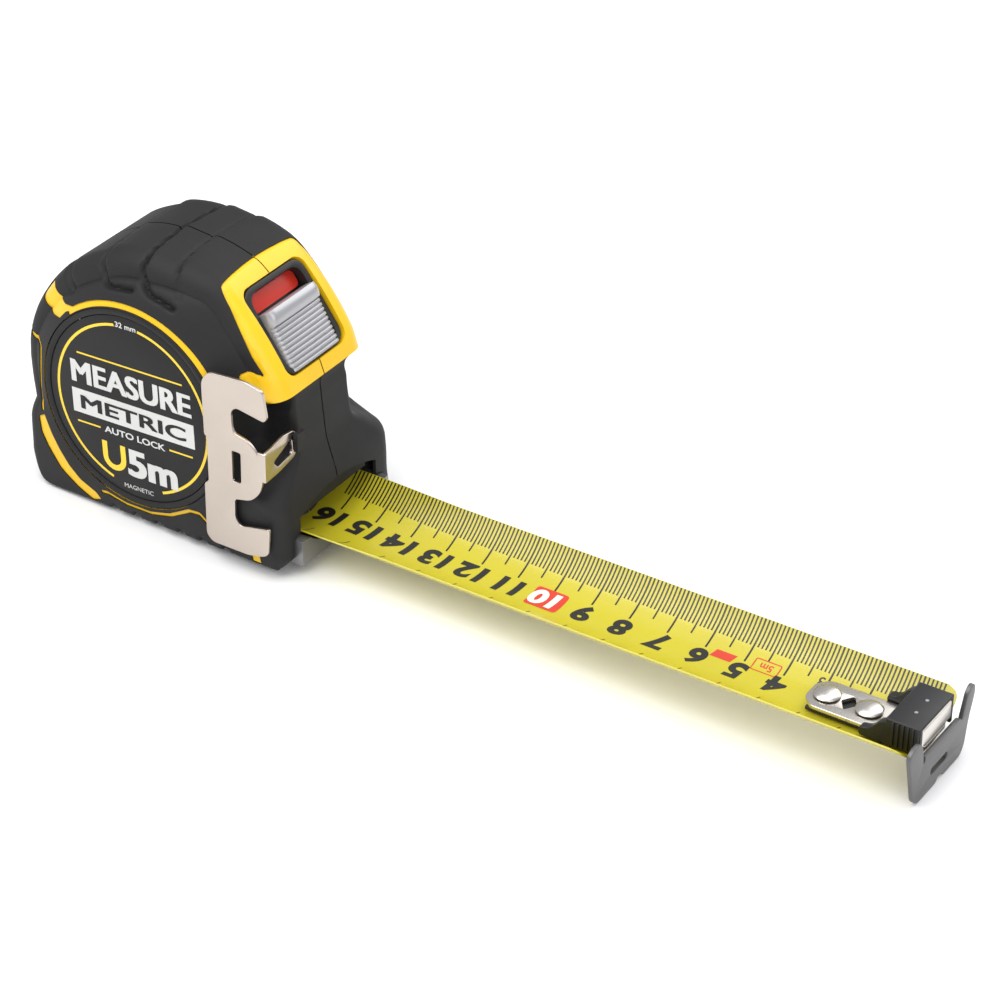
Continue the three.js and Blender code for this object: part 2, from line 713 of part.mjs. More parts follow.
function releaseButton() {
  const front = frontX + triggerTravel
  const r = mouthBlade.radius + bladeThickness + 0.5
  const half = mouthHalfWidth - clearance - 0.2
  const spread = (mouthBlade.angle * mouthBlade.radius) / r - 0.02
  const arc = Array.from({ length: 17 }, (_, i) => {
    const a = spread * (i / 8 - 1)
    return [r * Math.sin(a), mouthCentre - r * Math.cos(a)]
  })
  const section = [...arc.reverse(), [-half, 7], [-half, 0.2], [half, 0.2], [half, 7]]
  const rivetGroove = box(buttonBack - 1, front + 1, -2.2, 2.2, 0.55, 3)
  return slabYZ(section, buttonBack, front).subtract(rivetGroove)
}
addPiece('release_button', releaseButton(), silverPlastic)

function coilSpring(x0, x1, y, z, radius, wire, turns) {
  class Helix extends THREE.Curve {
    getPoint(t) {
      const a = t * turns * 2 * Math.PI
      return new THREE.Vector3(x0 + (x1 - x0) * t, y + radius * Math.cos(a), z + radius * Math.sin(a))
    }
  }
  const section = new THREE.Shape()
  section.absarc(0, 0, wire, 0, Math.PI * 2)
  return new THREE.ExtrudeGeometry(section, {
    extrudePath: new Helix(), steps: turns * 10, curveSegments: 3, bevelEnabled: false,
  })
}
const returnSprings = [-14, 14]
returnSprings.forEach((y, i) => {
  const name = i ? 'button_spring_right' : 'button_spring_left'
  addPiece(name, coilSpring(30.5, buttonBack - 0.8 - triggerTravel, y, 3.6, 1.1, 0.25, 4), steel)
})

// --- belt clip --------------------------------------------------------------

const clipPlane = -caseHalfWidth - 0.7
const clipOuter = clipPlane - clipThickness
const clipOutline = [
  [24.2, 50],
  [22, 47.2],
  [22.3, 32.9],
  [23, 32.3],
  [23.1, 20.4],
  [21.9, 19.5],
  [21.9, 5.4],
  [23.6, 3.7],
  [34, 3.7],
  [38, 4.6],
  [39.6, 5.6],
  [40.2, 12.8],
  [31.8, 11],
  [30.4, 12.6],
  [30.5, 17.9],
  [35.2, 19],
  [38, 22],
  [38.9, 27],
  [38, 31.6],
  [35.1, 35],
  [30.9, 36],
  [30.4, 37.2],
  [30.2, 41.4],
  [31.7, 42.9],
  [39.5, 41.6],
  [40.4, 42.8],
  [39.3, 49.5],
  [34.5, 50.7],
].map(([x, z]) => [x * caseLengthScale, z * caseHeightScale])
const earX = 39.6 * caseLengthScale
const earEnd = -12.4
function beltClip() {
  const plate = slabXZ(clipOutline, clipOuter, clipPlane)
  const slot = slabXZ([[30.1, 31], [32.6, 31], [32.5, 22.9], [30.1, 22.7]], clipOuter - 1, clipPlane + 1)
  const bend = box(37.4, earX, clipOuter, clipPlane + 0.01, 21.5, 33)
  const ear = slabYZ([
    [clipOuter, 21],
    [clipPlane + 4, 23.4],
    [earEnd - 1.2, 27.2],
    [earEnd, 28.6],
    [earEnd, 33],
    [earEnd - 1.2, 34],
    [clipPlane + 5, 31.6],
    [clipPlane + 2.6, 32.6],
    [clipOuter, 33.4],
  ], earX - clipThickness, earX)
  const hole = slabYZ([
    [clipPlane + 4.8, 28.4],
    [clipPlane + 3.6, 25.6],
    [earEnd - 3, 28.8],
    [earEnd - 2, 30.2],
    [earEnd - 2.6, 32.2],
    [earEnd - 4.6, 32],
  ], earX - 3, earX + 3)
  return plate.subtract(slot).add(bend).add(ear).subtract(hole)
}
addPiece('belt_clip', beltClip(), nickel)

// Anchor that holds the clip's ear against the neck of the case
const anchor = box(earX + clearance, earX + 1.5, earEnd - 1.8, earEnd + 1.2, 28.6, 33.4)
addPiece('clip_anchor', anchor, darkPlastic)

export default tape
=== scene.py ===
import math

import bmesh
import bpy
import numpy as np
from mathutils import Matrix, Vector


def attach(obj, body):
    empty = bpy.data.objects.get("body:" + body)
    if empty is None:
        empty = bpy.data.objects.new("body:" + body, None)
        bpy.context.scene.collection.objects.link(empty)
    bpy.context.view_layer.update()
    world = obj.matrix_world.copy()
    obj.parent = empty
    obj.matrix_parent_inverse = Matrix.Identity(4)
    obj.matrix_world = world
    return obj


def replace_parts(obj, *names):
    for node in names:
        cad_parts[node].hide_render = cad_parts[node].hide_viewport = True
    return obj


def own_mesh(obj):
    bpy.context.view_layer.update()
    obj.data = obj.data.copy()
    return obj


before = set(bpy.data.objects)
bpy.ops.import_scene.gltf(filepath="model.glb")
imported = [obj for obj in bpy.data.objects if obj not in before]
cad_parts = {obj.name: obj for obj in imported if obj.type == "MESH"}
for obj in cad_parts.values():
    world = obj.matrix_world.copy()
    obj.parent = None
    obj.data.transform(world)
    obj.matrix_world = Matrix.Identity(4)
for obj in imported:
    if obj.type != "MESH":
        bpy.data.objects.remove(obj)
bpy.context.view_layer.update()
scene = bpy.context.scene
mm = 0.001

# --- shared sizes (millimetres, the part's own frame) ---

case = {
    "halfWidth": 23.3,
    "reelHeight": 30.9,
    "ringInner": 26.1,
    "rimInner": 24.3,
    "back": -33.8,
    "front": 42.2,
    "top": 69.5,
}
blade = {
    "width": 32.0,
    "edgeHeight": 8.0,
    "freeRadius": 17.83,
    "mouthRadius": 21.34,
    "scaleZero": 199.7,
    "start": 26.0,
    "end": 198.1,
    "freeAt": 68.0,
    "cornerRadius": 3,
    "thickness": 0.32,
}


# --- small tools ---


def addMesh(name, verts, faces, material, sharp=32.0):
    mesh = bpy.data.meshes.new(name)
    mesh.from_pydata([tuple(float(c) * mm for c in v) for v in verts], [], faces)
    obj = bpy.data.objects.new(name, mesh)
    scene.collection.objects.link(obj)
    mesh.materials.append(material)
    shade(obj, sharp)
    return obj


def shade(obj, sharp=32.0):
    bm = bmesh.new()
    bm.from_mesh(obj.data)
    bmesh.ops.remove_doubles(bm, verts=bm.verts, dist=2e-7)
    bmesh.ops.recalc_face_normals(bm, faces=bm.faces)
    limit = math.radians(sharp)
    for face in bm.faces:
        face.smooth = True
    for edge in bm.edges:
        if len(edge.link_faces) == 2:
            edge.smooth = edge.calc_face_angle(0.0) < limit
    bm.to_mesh(obj.data)
    bm.free()


def joined(name, objs):
    bm = bmesh.new()
    materials = []
    for o in objs:
        slots = []
        for m in o.data.materials:
            if m not in materials:
                materials.append(m)
            slots.append(materials.index(m))
        first = len(bm.faces)
        bm.from_mesh(o.data)
        bm.faces.ensure_lookup_table()
        for f in bm.faces[first:]:
            f.material_index = slots[f.material_index] if slots else 0
        bpy.data.objects.remove(o)
    mesh = bpy.data.meshes.new(name)
    bm.to_mesh(mesh)
    bm.free()
    for m in materials:
        mesh.materials.append(m)
    obj = bpy.data.objects.new(name, mesh)
    scene.collection.objects.link(obj)
    return obj


def basis(origin, u, v, w):
    m = Matrix((u, v, w)).transposed().to_4x4()
    m.translation = Vector(origin) * mm
    return m


def plate(name, loops, thickness, place, material, bevel=0.2, steps=2):
    # flat plate with rounded edges; the first loop is its outline and the others are holes
    curve = bpy.data.curves.new(name, "CURVE")
    curve.dimensions = "2D"
    curve.fill_mode = "BOTH"
    for loop in loops:
        spline = curve.splines.new("POLY")
        spline.points.add(len(loop) - 1)
        for p, (a, b) in zip(spline.points, loop):
            p.co = (a * mm, b * mm, 0, 1)
        spline.use_cyclic_u = True
    curve.extrude = max(thickness / 2 - bevel, 0.001) * mm
    curve.bevel_depth = bevel * mm
    curve.bevel_resolution = steps
    curve.offset = -bevel * mm
    holder = bpy.data.objects.new(name + ".flat", curve)
    scene.collection.objects.link(holder)
    depsgraph = bpy.context.evaluated_depsgraph_get()
    mesh = bpy.data.meshes.new_from_object(holder.evaluated_get(depsgraph))
    bpy.data.objects.remove(holder)
    mesh.transform(place)
    mesh.materials.clear()
    mesh.materials.append(material)
    obj = bpy.data.objects.new(name, mesh)
    scene.collection.objects.link(obj)
    shade(obj, 28)
    return obj


def rounded(points, radii, steps=5):
    # outline with its corners rounded, each by its own radius
    out = []
    n = len(points)
    for i, p in enumerate(points):
        r = radii[i] if hasattr(radii, "__len__") else radii
        a, b, c = (Vector(points[i - 1]), Vector(p), Vector(points[(i + 1) % n]))
        before, after = (a - b), (c - b)
        if r <= 0 or before.length < 1e-6 or after.length < 1e-6:
            out.append((b.x, b.y))
            continue
        reach = min(r, before.length * 0.48, after.length * 0.48)
        p0, p1 = b + before.normalized() * reach, b + after.normalized() * reach
        for k in range(steps + 1):
            t = k / steps
            q = p0 * (1 - t) ** 2 + b * 2 * t * (1 - t) + p1 * t * t
            out.append((q.x, q.y))
    return out


def lathe(name, profile, axisPoint, axis, material, sides=96, sharp=32.0):
    # profile: (radius, distance along the axis)
    axis = Vector(axis).normalized()
    side = axis.orthogonal().normalized()
    other = axis.cross(side)
    origin = Vector(axisPoint)
    verts, faces = [], []
    for radius, height in profile:
        for k in range(sides):
            a = 2 * math.pi * k / sides
            verts.append(origin + axis * height + (side * math.cos(a) + other * math.sin(a)) * radius)
    for r in range(len(profile) - 1):
        for k in range(sides):
            j = (k + 1) % sides
            faces.append((r * sides + k, r * sides + j, (r + 1) * sides + j, (r + 1) * sides + k))
    if profile[0][0] > 1e-3:
        faces.append(tuple(range(sides)))
    if profile[-1][0] > 1e-3:
        faces.append(tuple(range((len(profile) - 1) * sides, len(profile) * sides)))
    return addMesh(name, verts, faces, material, sharp)


def block(name, x0, x1, y0, y1, z0, z1, material, bevel=0.3, segments=3):
    mesh = bpy.data.meshes.new(name)
    bm = bmesh.new()
    bmesh.ops.create_cube(bm, size=1)
    for v in bm.verts:
        v.co = Vector((
            (x0 + x1) / 2 + v.co.x * (x1 - x0),
            (y0 + y1) / 2 + v.co.y * (y1 - y0),
            (z0 + z1) / 2 + v.co.z * (z1 - z0),
        )) * mm
    bmesh.ops.bevel(bm, geom=bm.edges[:], offset=bevel * mm, segments=segments, affect="EDGES", profile=0.5)
    bm.to_mesh(mesh)
    bm.free()
    mesh.materials.append(material)
    obj = bpy.data.objects.new(name, mesh)
    scene.collection.objects.link(obj)
    shade(obj, 40)
    return obj


def cutStrips(bm, pitch):
    # cuts a flat mesh across its height, so that it can follow a curve
    height = min(v.co.y for v in bm.verts) + pitch
    high = max(v.co.y for v in bm.verts)
    while height < high:
        bmesh.ops.bisect_plane(
            bm, geom=bm.verts[:] + bm.edges[:] + bm.faces[:], plane_co=(0, height, 0), plane_no=(0, 1, 0)
        )
        height += pitch


def flatLists(bm):
    bm.verts.index_update()
    verts = [(v.co.x, v.co.y) for v in bm.verts]
    faces = [tuple(v.index for v in f.verts) for f in bm.faces]
    bm.free()
    return verts, faces


def glyphs(text, size, bold=0.0):
    # flat mesh of a word, centred on its own middle: vertices and faces, in millimetres
    curve = bpy.data.curves.new("word", "FONT")
    curve.body = text
    curve.size = size
    curve.offset = bold
    curve.align_x = "CENTER"
    curve.resolution_u = 4
    holder = bpy.data.objects.new("word", curve)
    scene.collection.objects.link(holder)
    mesh = bpy.data.meshes.new_from_object(holder.evaluated_get(bpy.context.evaluated_depsgraph_get()))
    bpy.data.objects.remove(holder)
    bm = bmesh.new()
    bm.from_mesh(mesh)
    bpy.data.meshes.remove(mesh)
    bmesh.ops.triangulate(bm, faces=bm.faces)
    cutStrips(bm, 0.6)
    return flatLists(bm)


# --- materials ---


def grainGroup(name):
    # colour variation and a fine bump from two noises
    tree = bpy.data.node_groups.new(name, "ShaderNodeTree")
    inputs = {"Colour": "Color", "Dark": "Color", "Scale": "Float", "Depth": "Float", "Rough": "Float"}
    outputs = {"Colour": "Color", "Roughness": "Float", "Normal": "Vector"}
    for socket, kind in inputs.items():
        tree.interface.new_socket(socket, in_out="INPUT", socket_type=f"NodeSocket{kind}")
    for socket, kind in outputs.items():
        tree.interface.new_socket(socket, in_out="OUTPUT", socket_type=f"NodeSocket{kind}")
    nodes, links = tree.nodes, tree.links
    given = nodes.new("NodeGroupInput")
    result = nodes.new("NodeGroupOutput")
    coords = nodes.new("ShaderNodeTexCoord")
    fine = nodes.new("ShaderNodeTexNoise")
    broad = nodes.new("ShaderNodeTexNoise")
    broad.inputs["Scale"].default_value = 60
    broad.inputs["Detail"].default_value = 3
    fine.inputs["Detail"].default_value = 2
    links.new(coords.outputs["Object"], fine.inputs["Vector"])
    links.new(coords.outputs["Object"], broad.inputs["Vector"])
    links.new(given.outputs["Scale"], fine.inputs["Scale"])
    mix = nodes.new("ShaderNodeMix")
    mix.data_type = "RGBA"
    ramp = nodes.new("ShaderNodeMapRange")
    ramp.inputs["From Min"].default_value = 0.35
    ramp.inputs["From Max"].default_value = 0.7
    links.new(broad.outputs["Fac"], ramp.inputs["Value"])
    links.new(ramp.outputs["Result"], mix.inputs["Factor"])
    links.new(given.outputs["Colour"], mix.inputs["A"])
    links.new(given.outputs["Dark"], mix.inputs["B"])
    links.new(mix.outputs["Result"], result.inputs["Colour"])
    vary = nodes.new("ShaderNodeMapRange")
    vary.inputs["To Min"].default_value = -0.04
    vary.inputs["To Max"].default_value = 0.06
    links.new(broad.outputs["Fac"], vary.inputs["Value"])
    add = nodes.new("ShaderNodeMath")
    links.new(vary.outputs["Result"], add.inputs[0])
    links.new(given.outputs["Rough"], add.inputs[1])
    links.new(add.outputs["Value"], result.inputs["Roughness"])
    bump = nodes.new("ShaderNodeBump")
    bump.inputs["Strength"].default_value = 0.6
    links.new(fine.outputs["Fac"], bump.inputs["Height"])
    links.new(given.outputs["Depth"], bump.inputs["Distance"])
    links.new(bump.outputs["Normal"], result.inputs["Normal"])
    return tree


grain = grainGroup("surface grain")


def finish(name, colour, rough, metal=0.0, scale=1500, depth=0.00002, darker=0.82, coat=0.0, specular=0.5):
    material = bpy.data.materials.new(name)
    material.use_nodes = True
    nodes, links = material.node_tree.nodes, material.node_tree.links
    shader = nodes["Principled BSDF"]
    shader.inputs["Metallic"].default_value = metal
    shader.inputs["Coat Weight"].default_value = coat
    shader.inputs["Coat Roughness"].default_value = 0.15
    shader.inputs["Specular IOR Level"].default_value = specular
    texture = nodes.new("ShaderNodeGroup")
    texture.node_tree = grain
    texture.inputs["Colour"].default_value = (*colour, 1)
    texture.inputs["Dark"].default_value = (*[c * darker for c in colour], 1)
    texture.inputs["Scale"].default_value = scale
    texture.inputs["Depth"].default_value = depth
    texture.inputs["Rough"].default_value = rough
    links.new(texture.outputs["Colour"], shader.inputs["Base Color"])
    links.new(texture.outputs["Roughness"], shader.inputs["Roughness"])
    links.new(texture.outputs["Normal"], shader.inputs["Normal"])
    return material


rubber = finish("black rubber", (0.016, 0.0155, 0.016), 0.62, scale=2600, depth=0.00004, specular=0.3)
casing = finish("yellow casing", (0.87, 0.53, 0.008), 0.34, scale=2200, depth=0.000012, darker=0.93)
darkCase = finish("dark plastic", (0.011, 0.011, 0.012), 0.42, scale=2400, depth=0.00002)
labelFilm = finish("label film", (0.014, 0.0135, 0.014), 0.5, scale=3000, depth=0.000008, specular=0.25)
labelInk = finish("label light ink", (0.62, 0.62, 0.6), 0.4, scale=3000, depth=0.000004, darker=0.94)
yellowInk = finish("label yellow ink", (0.86, 0.6, 0.03), 0.4, scale=3000, depth=0.000004, darker=0.94)
bladePaint = finish("blade yellow", (0.54, 0.47, 0.02), 0.3, scale=900, depth=0.00001, darker=0.95, coat=0.25)
bladeInk = finish("blade black ink", (0.016, 0.016, 0.014), 0.36, scale=2500, depth=0.000003)
redInk = finish("red ink", (0.62, 0.045, 0.02), 0.36, scale=2500, depth=0.000003, darker=0.92)
whiteInk = finish("white ink", (0.82, 0.8, 0.72), 0.36, scale=2500, depth=0.000003, darker=0.95)
nickel = finish("satin nickel", (0.7, 0.66, 0.61), 0.27, metal=1.0, scale=700, depth=0.00002, darker=0.94)
clipPlate = finish("warm satin nickel", (0.56, 0.49, 0.43), 0.3, metal=1.0, scale=700, depth=0.00002, darker=0.94)
buttonMetal = finish("button metal", (0.26, 0.26, 0.27), 0.22, metal=0.7, scale=900, depth=0.00001, darker=0.95)
steel = finish("plain steel", (0.5, 0.5, 0.51), 0.32, metal=1.0, scale=900, depth=0.00002, darker=0.9)
coated = finish("coated steel", (0.135, 0.13, 0.132), 0.4, metal=0.65, scale=1800, depth=0.00003, darker=0.9)
silver = finish("silver plastic", (0.42, 0.42, 0.435), 0.3, metal=0.45, scale=2200, depth=0.000012, darker=0.95)
redPlastic = finish("red plastic", (0.62, 0.03, 0.014), 0.35, scale=2200, depth=0.00001, darker=0.93)
print("materials made")

# --- case skin ---

# side view: x, z, how much narrower each side is there, edge radius, how late the side swells
outline = [
    (40.2, 0, 0.7, 1.2, 1), (42.2, 2.4, 0.5, 3.5, 1), (42.2, 12.2, 0.5, 4.5, 1), (41.5, 17.2, 0.9, 4.5, 1.2),
    (40.2, 21.3, 5.8, 3, 5), (39, 25.3, 11.1, 1.8, 8), (38.4, 30.2, 12.1, 1.5, 8), (37.8, 36, 12.1, 1.5, 8),
    (37.7, 40.7, 11.7, 1.5, 8), (38.8, 42.1, 6.3, 4.8, 2.6), (37.1, 46.4, 5.9, 5, 1.4), (33.6, 52, 5.8, 5, 1),
    (27.4, 60, 6, 5, 0.9), (21.3, 66, 6.3, 5, 0.8), (15.5, 68.2, 5.7, 5.5, 0.7), (8, 69.5, 5.3, 6, 0.6),
    (0, 69.5, 5.1, 6, 0.55), (-7.8, 68, 4.9, 6, 0.55), (-15.5, 64.5, 4.7, 6, 0.55), (-22.8, 59.2, 4.3, 5.5, 0.6),
    (-28.6, 52.4, 3.7, 5, 0.7), (-32.4, 44.9, 3.1, 4.5, 0.8), (-33.8, 37.6, 2.5, 4, 0.9), (-33.5, 29.9, 2.1, 4, 0.9),
    (-32.3, 22.4, 1.9, 3.5, 1), (-33.3, 19.6, 1.5, 3.5, 1), (-33.8, 17, 1.3, 3.5, 1), (-33.4, 6, 1.1, 3.5, 1),
    (-30, 0.8, 0.9, 1.4, 1), (-27, 0, 0.7, 1.2, 1),
]
cornerRows = {0, 9, 24, 29}


def smoothOutline(spacing=0.55):
    # rows run through a curve, except at the corners that stay crisp
    pts = np.array(outline, float)
    n = len(pts)
    rows = []
    for i in range(n):
        p0, p1, p2, p3 = pts[i - 1], pts[i], pts[(i + 1) % n], pts[(i + 2) % n]
        length = math.hypot(*(p2[:2] - p1[:2]))
        straight = length > 20
        before = max(math.hypot(*(p1[:2] - p0[:2])), 1e-6)
        after = max(math.hypot(*(p3[:2] - p2[:2])), 1e-6)
        m1 = (p2 - p1) / length if i in cornerRows else ((p1 - p0) / before + (p2 - p1) / length) / 2
        m2 = (p2 - p1) / length if (i + 1) % n in cornerRows else ((p2 - p1) / length + (p3 - p2) / after) / 2
        steps = max(int(round(length / spacing)), 1)
        for k in range(steps):
            t = k / steps
            if straight:
                q = p1 + (p2 - p1) * t
            else:
                h00, h10 = 2 * t**3 - 3 * t**2 + 1, t**3 - 2 * t**2 + t
                h01, h11 = -2 * t**3 + 3 * t**2, t**3 - t**2
                q = h00 * p1 + h10 * length * m1 + h01 * p2 + h11 * length * m2
            q[0] = min(max(q[0], case["back"]), case["front"])
            q[1] = min(max(q[1], 0.0), case["top"])
            rows.append(q)
    return np.array(rows)


def segmentDistance(x, z, a, b):
    ax, az, bx, bz = *a, *b
    dx, dz = bx - ax, bz - az
    t = np.clip(((x - ax) * dx + (z - az) * dz) / (dx * dx + dz * dz), 0, 1)
    return np.hypot(x - ax - t * dx, z - az - t * dz)


def lineZone(x, z, points, half):
    # above zero within half a width of a run of lines
    d = np.full(np.shape(x), 1e9)
    for a, b in zip(points[:-1], points[1:]):
        d = np.minimum(d, segmentDistance(x, z, a, b))
    return half - d


def areaZone(x, z, points):
    # above zero inside a closed outline
    d = np.full(np.shape(x), 1e9)
    inside = np.zeros(np.shape(x), bool)
    for (ax, az), (bx, bz) in zip(points, points[1:] + points[:1]):
        d = np.minimum(d, segmentDistance(x, z, (ax, az), (bx, bz)))
        crosses = (az > z) != (bz > z)
        inside ^= crosses & (x < (bx - ax) * (z - az) / (bz - az + 1e-12) + ax)
    return np.where(inside, d, -d)


surround = [(20.4, 75), (19.6, 66), (25.2, 59.2), (30.2, 53), (34.6, 47.4), (30.6, 48.6), (28.6, 47.4), (29.6, 41.4),
            (46, 41.4), (46, 75)]
slopeFoot, slopeTop = Vector((38.8, 42.1)), Vector((21.3, 66))
along = (slopeTop - slopeFoot).normalized()
outward = Vector((along.y, -along.x))
slopeLength = (slopeTop - slopeFoot).length
window = {"half": 11.6, "foot": 3.6, "top": slopeLength - 3, "corner": 3.0}
mouth = {"half": 18.0, "upperHalf": 15.4, "shoulder": 7.4, "side": 10.6, "crown": 15.0, "back": 34.2}


def onSlope(up, off):
    p = slopeFoot + along * up + outward * off
    return p.x, p.y


bands = {
    "notch": [(-28.3, 59.5), (-27, 55.4), (-24.8, 53.6), (-22.6, 52.5), (-19.6, 52.3), (-16.4, 53), (-16.6, 51.9),
              (-18.7, 51), (-20.7, 48.6), (-23.8, 48.2), (-26.9, 49), (-29.5, 50), (-33, 52)],
    "thick": [(-29.6, 18.8), (-28.9, 14.5), (-27, 11.4), (-23.4, 6.7), (-18.4, 2.9), (-14.1, 0.6), (-11.2, 1.6),
              (-12.6, 3.4), (-17.2, 5.6), (-20.4, 8.6), (-23, 12), (-25.2, 15.6), (-27.3, 20.2)],
    "thin": [(-33.6, 40.6), (-31.5, 39.9), (-29, 39.6), (-27.7, 38.6), (-27.6, 36), (-27.8, 33.2), (-28.3, 29.5),
             (-28.8, 26.5), (-28.6, 23.8), (-28, 21.3)],
    "low": [(-10.6, 4.4), (-8.9, 4.7), (-3.4, 3.5), (3.9, 3.5), (9.9, 5.1), (13.2, 7), (15.6, 8.4), (18.6, 8.6),
            (21.3, 6.3), (23, 5)],
    "foot": [(33.1, 2.9), (33.4, 0.3), (36, 0.3), (35.4, 3.3)],
}


bandHalves = {"thin": 0.55, "low": 0.5}
ringBand = {"radius": 27.0, "half": 0.68, "from": 25, "to": 131, "perDegree": 0.47}
bandDepth = 15.8  # the bands stay this far out from the middle plane


def yellowZone(x, y, z):
    zone = areaZone(x, z, bands["notch"])
    for name in ("thick", "foot"):
        zone = np.maximum(zone, areaZone(x, z, bands[name]))
    for name, half in bandHalves.items():
        zone = np.maximum(zone, lineZone(x, z, bands[name], half))
    turn = np.degrees(np.arctan2(z - case["reelHeight"], x))
    ring = ringBand["half"] - np.abs(np.hypot(x, z - case["reelHeight"]) - ringBand["radius"])
    ends = np.minimum(turn - ringBand["from"], ringBand["to"] - turn) * ringBand["perDegree"]
    zone = np.maximum(zone, np.minimum(ring, ends))
    return np.minimum(zone, (np.abs(y) - bandDepth) * 0.8)


def surroundZone(x, y, z):
    # the top edge of the surround bows back a little at mid width
    bow = 1.5 * (np.abs(y) / 16) ** 2 * np.clip((z - 52) / 10, 0, 1)
    return areaZone(x - bow, z, surround)


def windowZone(x, y, z):
    # above zero inside the window of the thumb lock
    up = (x - slopeFoot.x) * along.x + (z - slopeFoot.y) * along.y
    off = (x - slopeFoot.x) * outward.x + (z - slopeFoot.y) * outward.y
    mid, half = (window["foot"] + window["top"]) / 2, (window["top"] - window["foot"]) / 2
    r = window["corner"]
    a = np.abs(up - mid) - (half - r)
    b = np.abs(y) - (window["half"] - r)
    d = np.hypot(np.maximum(a, 0), np.maximum(b, 0)) + np.minimum(np.maximum(a, b), 0) - r
    return np.where(off > -3, -d, -5.0)


def mouthZone(x, y, z):
    # above zero in the arch of the mouth, which is wider below the blade's edges
    crown = mouth["crown"] - (mouth["crown"] - mouth["side"]) * (y / mouth["half"]) ** 2
    half = np.where(z > mouth["shoulder"], mouth["upperHalf"], mouth["half"])
    d = np.minimum(crown - z, half - np.abs(y))
    return np.where(x > mouth["back"], d, x - mouth["back"])


# grooves over the top: middle x, depth, width, then the way down the shoulder as x, z, half width
grooves = [
    {"middle": -23.6, "depth": 1.7, "width": 0.72, "legs": [(-22.8, 59.6, 17.5), (-19.4, 56.2, 20.4)]},
    {"middle": -12.6, "depth": 1.7, "width": 0.72, "legs": [(-11.9, 64.9, 17.5), (-8.7, 61, 20.9), (-0.5, 62, 21.4)]},
    {"middle": -0.4, "depth": 1.7, "width": 0.72, "legs": [(0.4, 65.9, 17.5), (3.9, 62.5, 20.9), (11.6, 61, 21.4)]},
    {"middle": 8.5, "depth": 0.5, "width": 0.65, "legs": [(10, 67, 17.5), (12.6, 63.5, 20.6)]},
]
grooveBow = 2.0  # how far forward a groove has moved at 17 mm from the middle
bandFall = 0.9  # how far the rubber falls from one groove to the next


def ridgeHeight(points):
    # how far the skin stands off its outline: grooves, and a band behind each that falls to the next
    x, y, z = points[..., 0], np.abs(points[..., 1]), points[..., 2]
    flat = np.stack([x, y, z], -1)
    near = flat[(z > 50) & (x > -32)]
    height = np.zeros(np.shape(x))
    crown = np.clip((18.6 - y) / 2.5, 0, 1) * np.clip((z - 56) / 4, 0, 1)
    for k, groove in enumerate(grooves):
        middle = groove["middle"]
        track = []
        for v in np.linspace(0, 15.5, 12):
            away = np.hypot(near[:, 0] - middle - grooveBow * (v / 17) ** 2, near[:, 1] - v)
            track.append(near[np.argmin(away - near[:, 2] * 0.02)])
        last = np.array(track[-1])
        for px, pz, py in groove["legs"]:
            goal = np.array([px, py, pz])
            for share in np.linspace(0.2, 1, 5):
                q = last * (1 - share) + goal * share
                track.append(near[np.argmin(np.linalg.norm(near - q, axis=1))])
            last = goal
        track = smoothTrack(np.array(track))
        d = np.full(np.shape(x), 9.0)
        for p, q in zip(track[:-1], track[1:]):
            span = q - p
            t = np.clip(((flat - p) @ span) / max(span @ span, 1e-9), 0, 1)
            d = np.minimum(d, np.linalg.norm(flat - p - t[..., None] * span, axis=-1))
        height = height - groove["depth"] * np.exp(-((d / groove["width"]) ** 2))
        if k + 1 < len(grooves):
            after = x - middle - grooveBow * (np.clip(y, 0, 18) / 17.0) ** 2
            pitch = grooves[k + 1]["middle"] - middle
            height = height - np.where((after > 0) & (after < pitch), bandFall * after / pitch, 0) * crown
    return height


def smoothTrack(track):
    out = track.copy()
    for _ in range(2):
        out[1:-1] = (out[:-2] + 2 * out[1:-1] + out[2:]) / 4
    return out


tread = {"pitch": 6.6, "height": 2.0, "inner": 16, "back": -10, "front": 31, "depth": 0.9}


def treadDepth(x, y, z):
    # low steps of the rubber along the foot of the case
    wave = np.clip((np.abs(((x + 22) / tread["pitch"]) % 1 - 0.2) - 0.12) / 0.08, 0, 1)
    zone = np.clip(tread["height"] - z, 0, 1) * np.clip(np.abs(y) - tread["inner"], 0, 1)
    zone = zone * (x > tread["back"]) * (x < tread["front"])
    return -(1 - wave) * tread["depth"] * zone


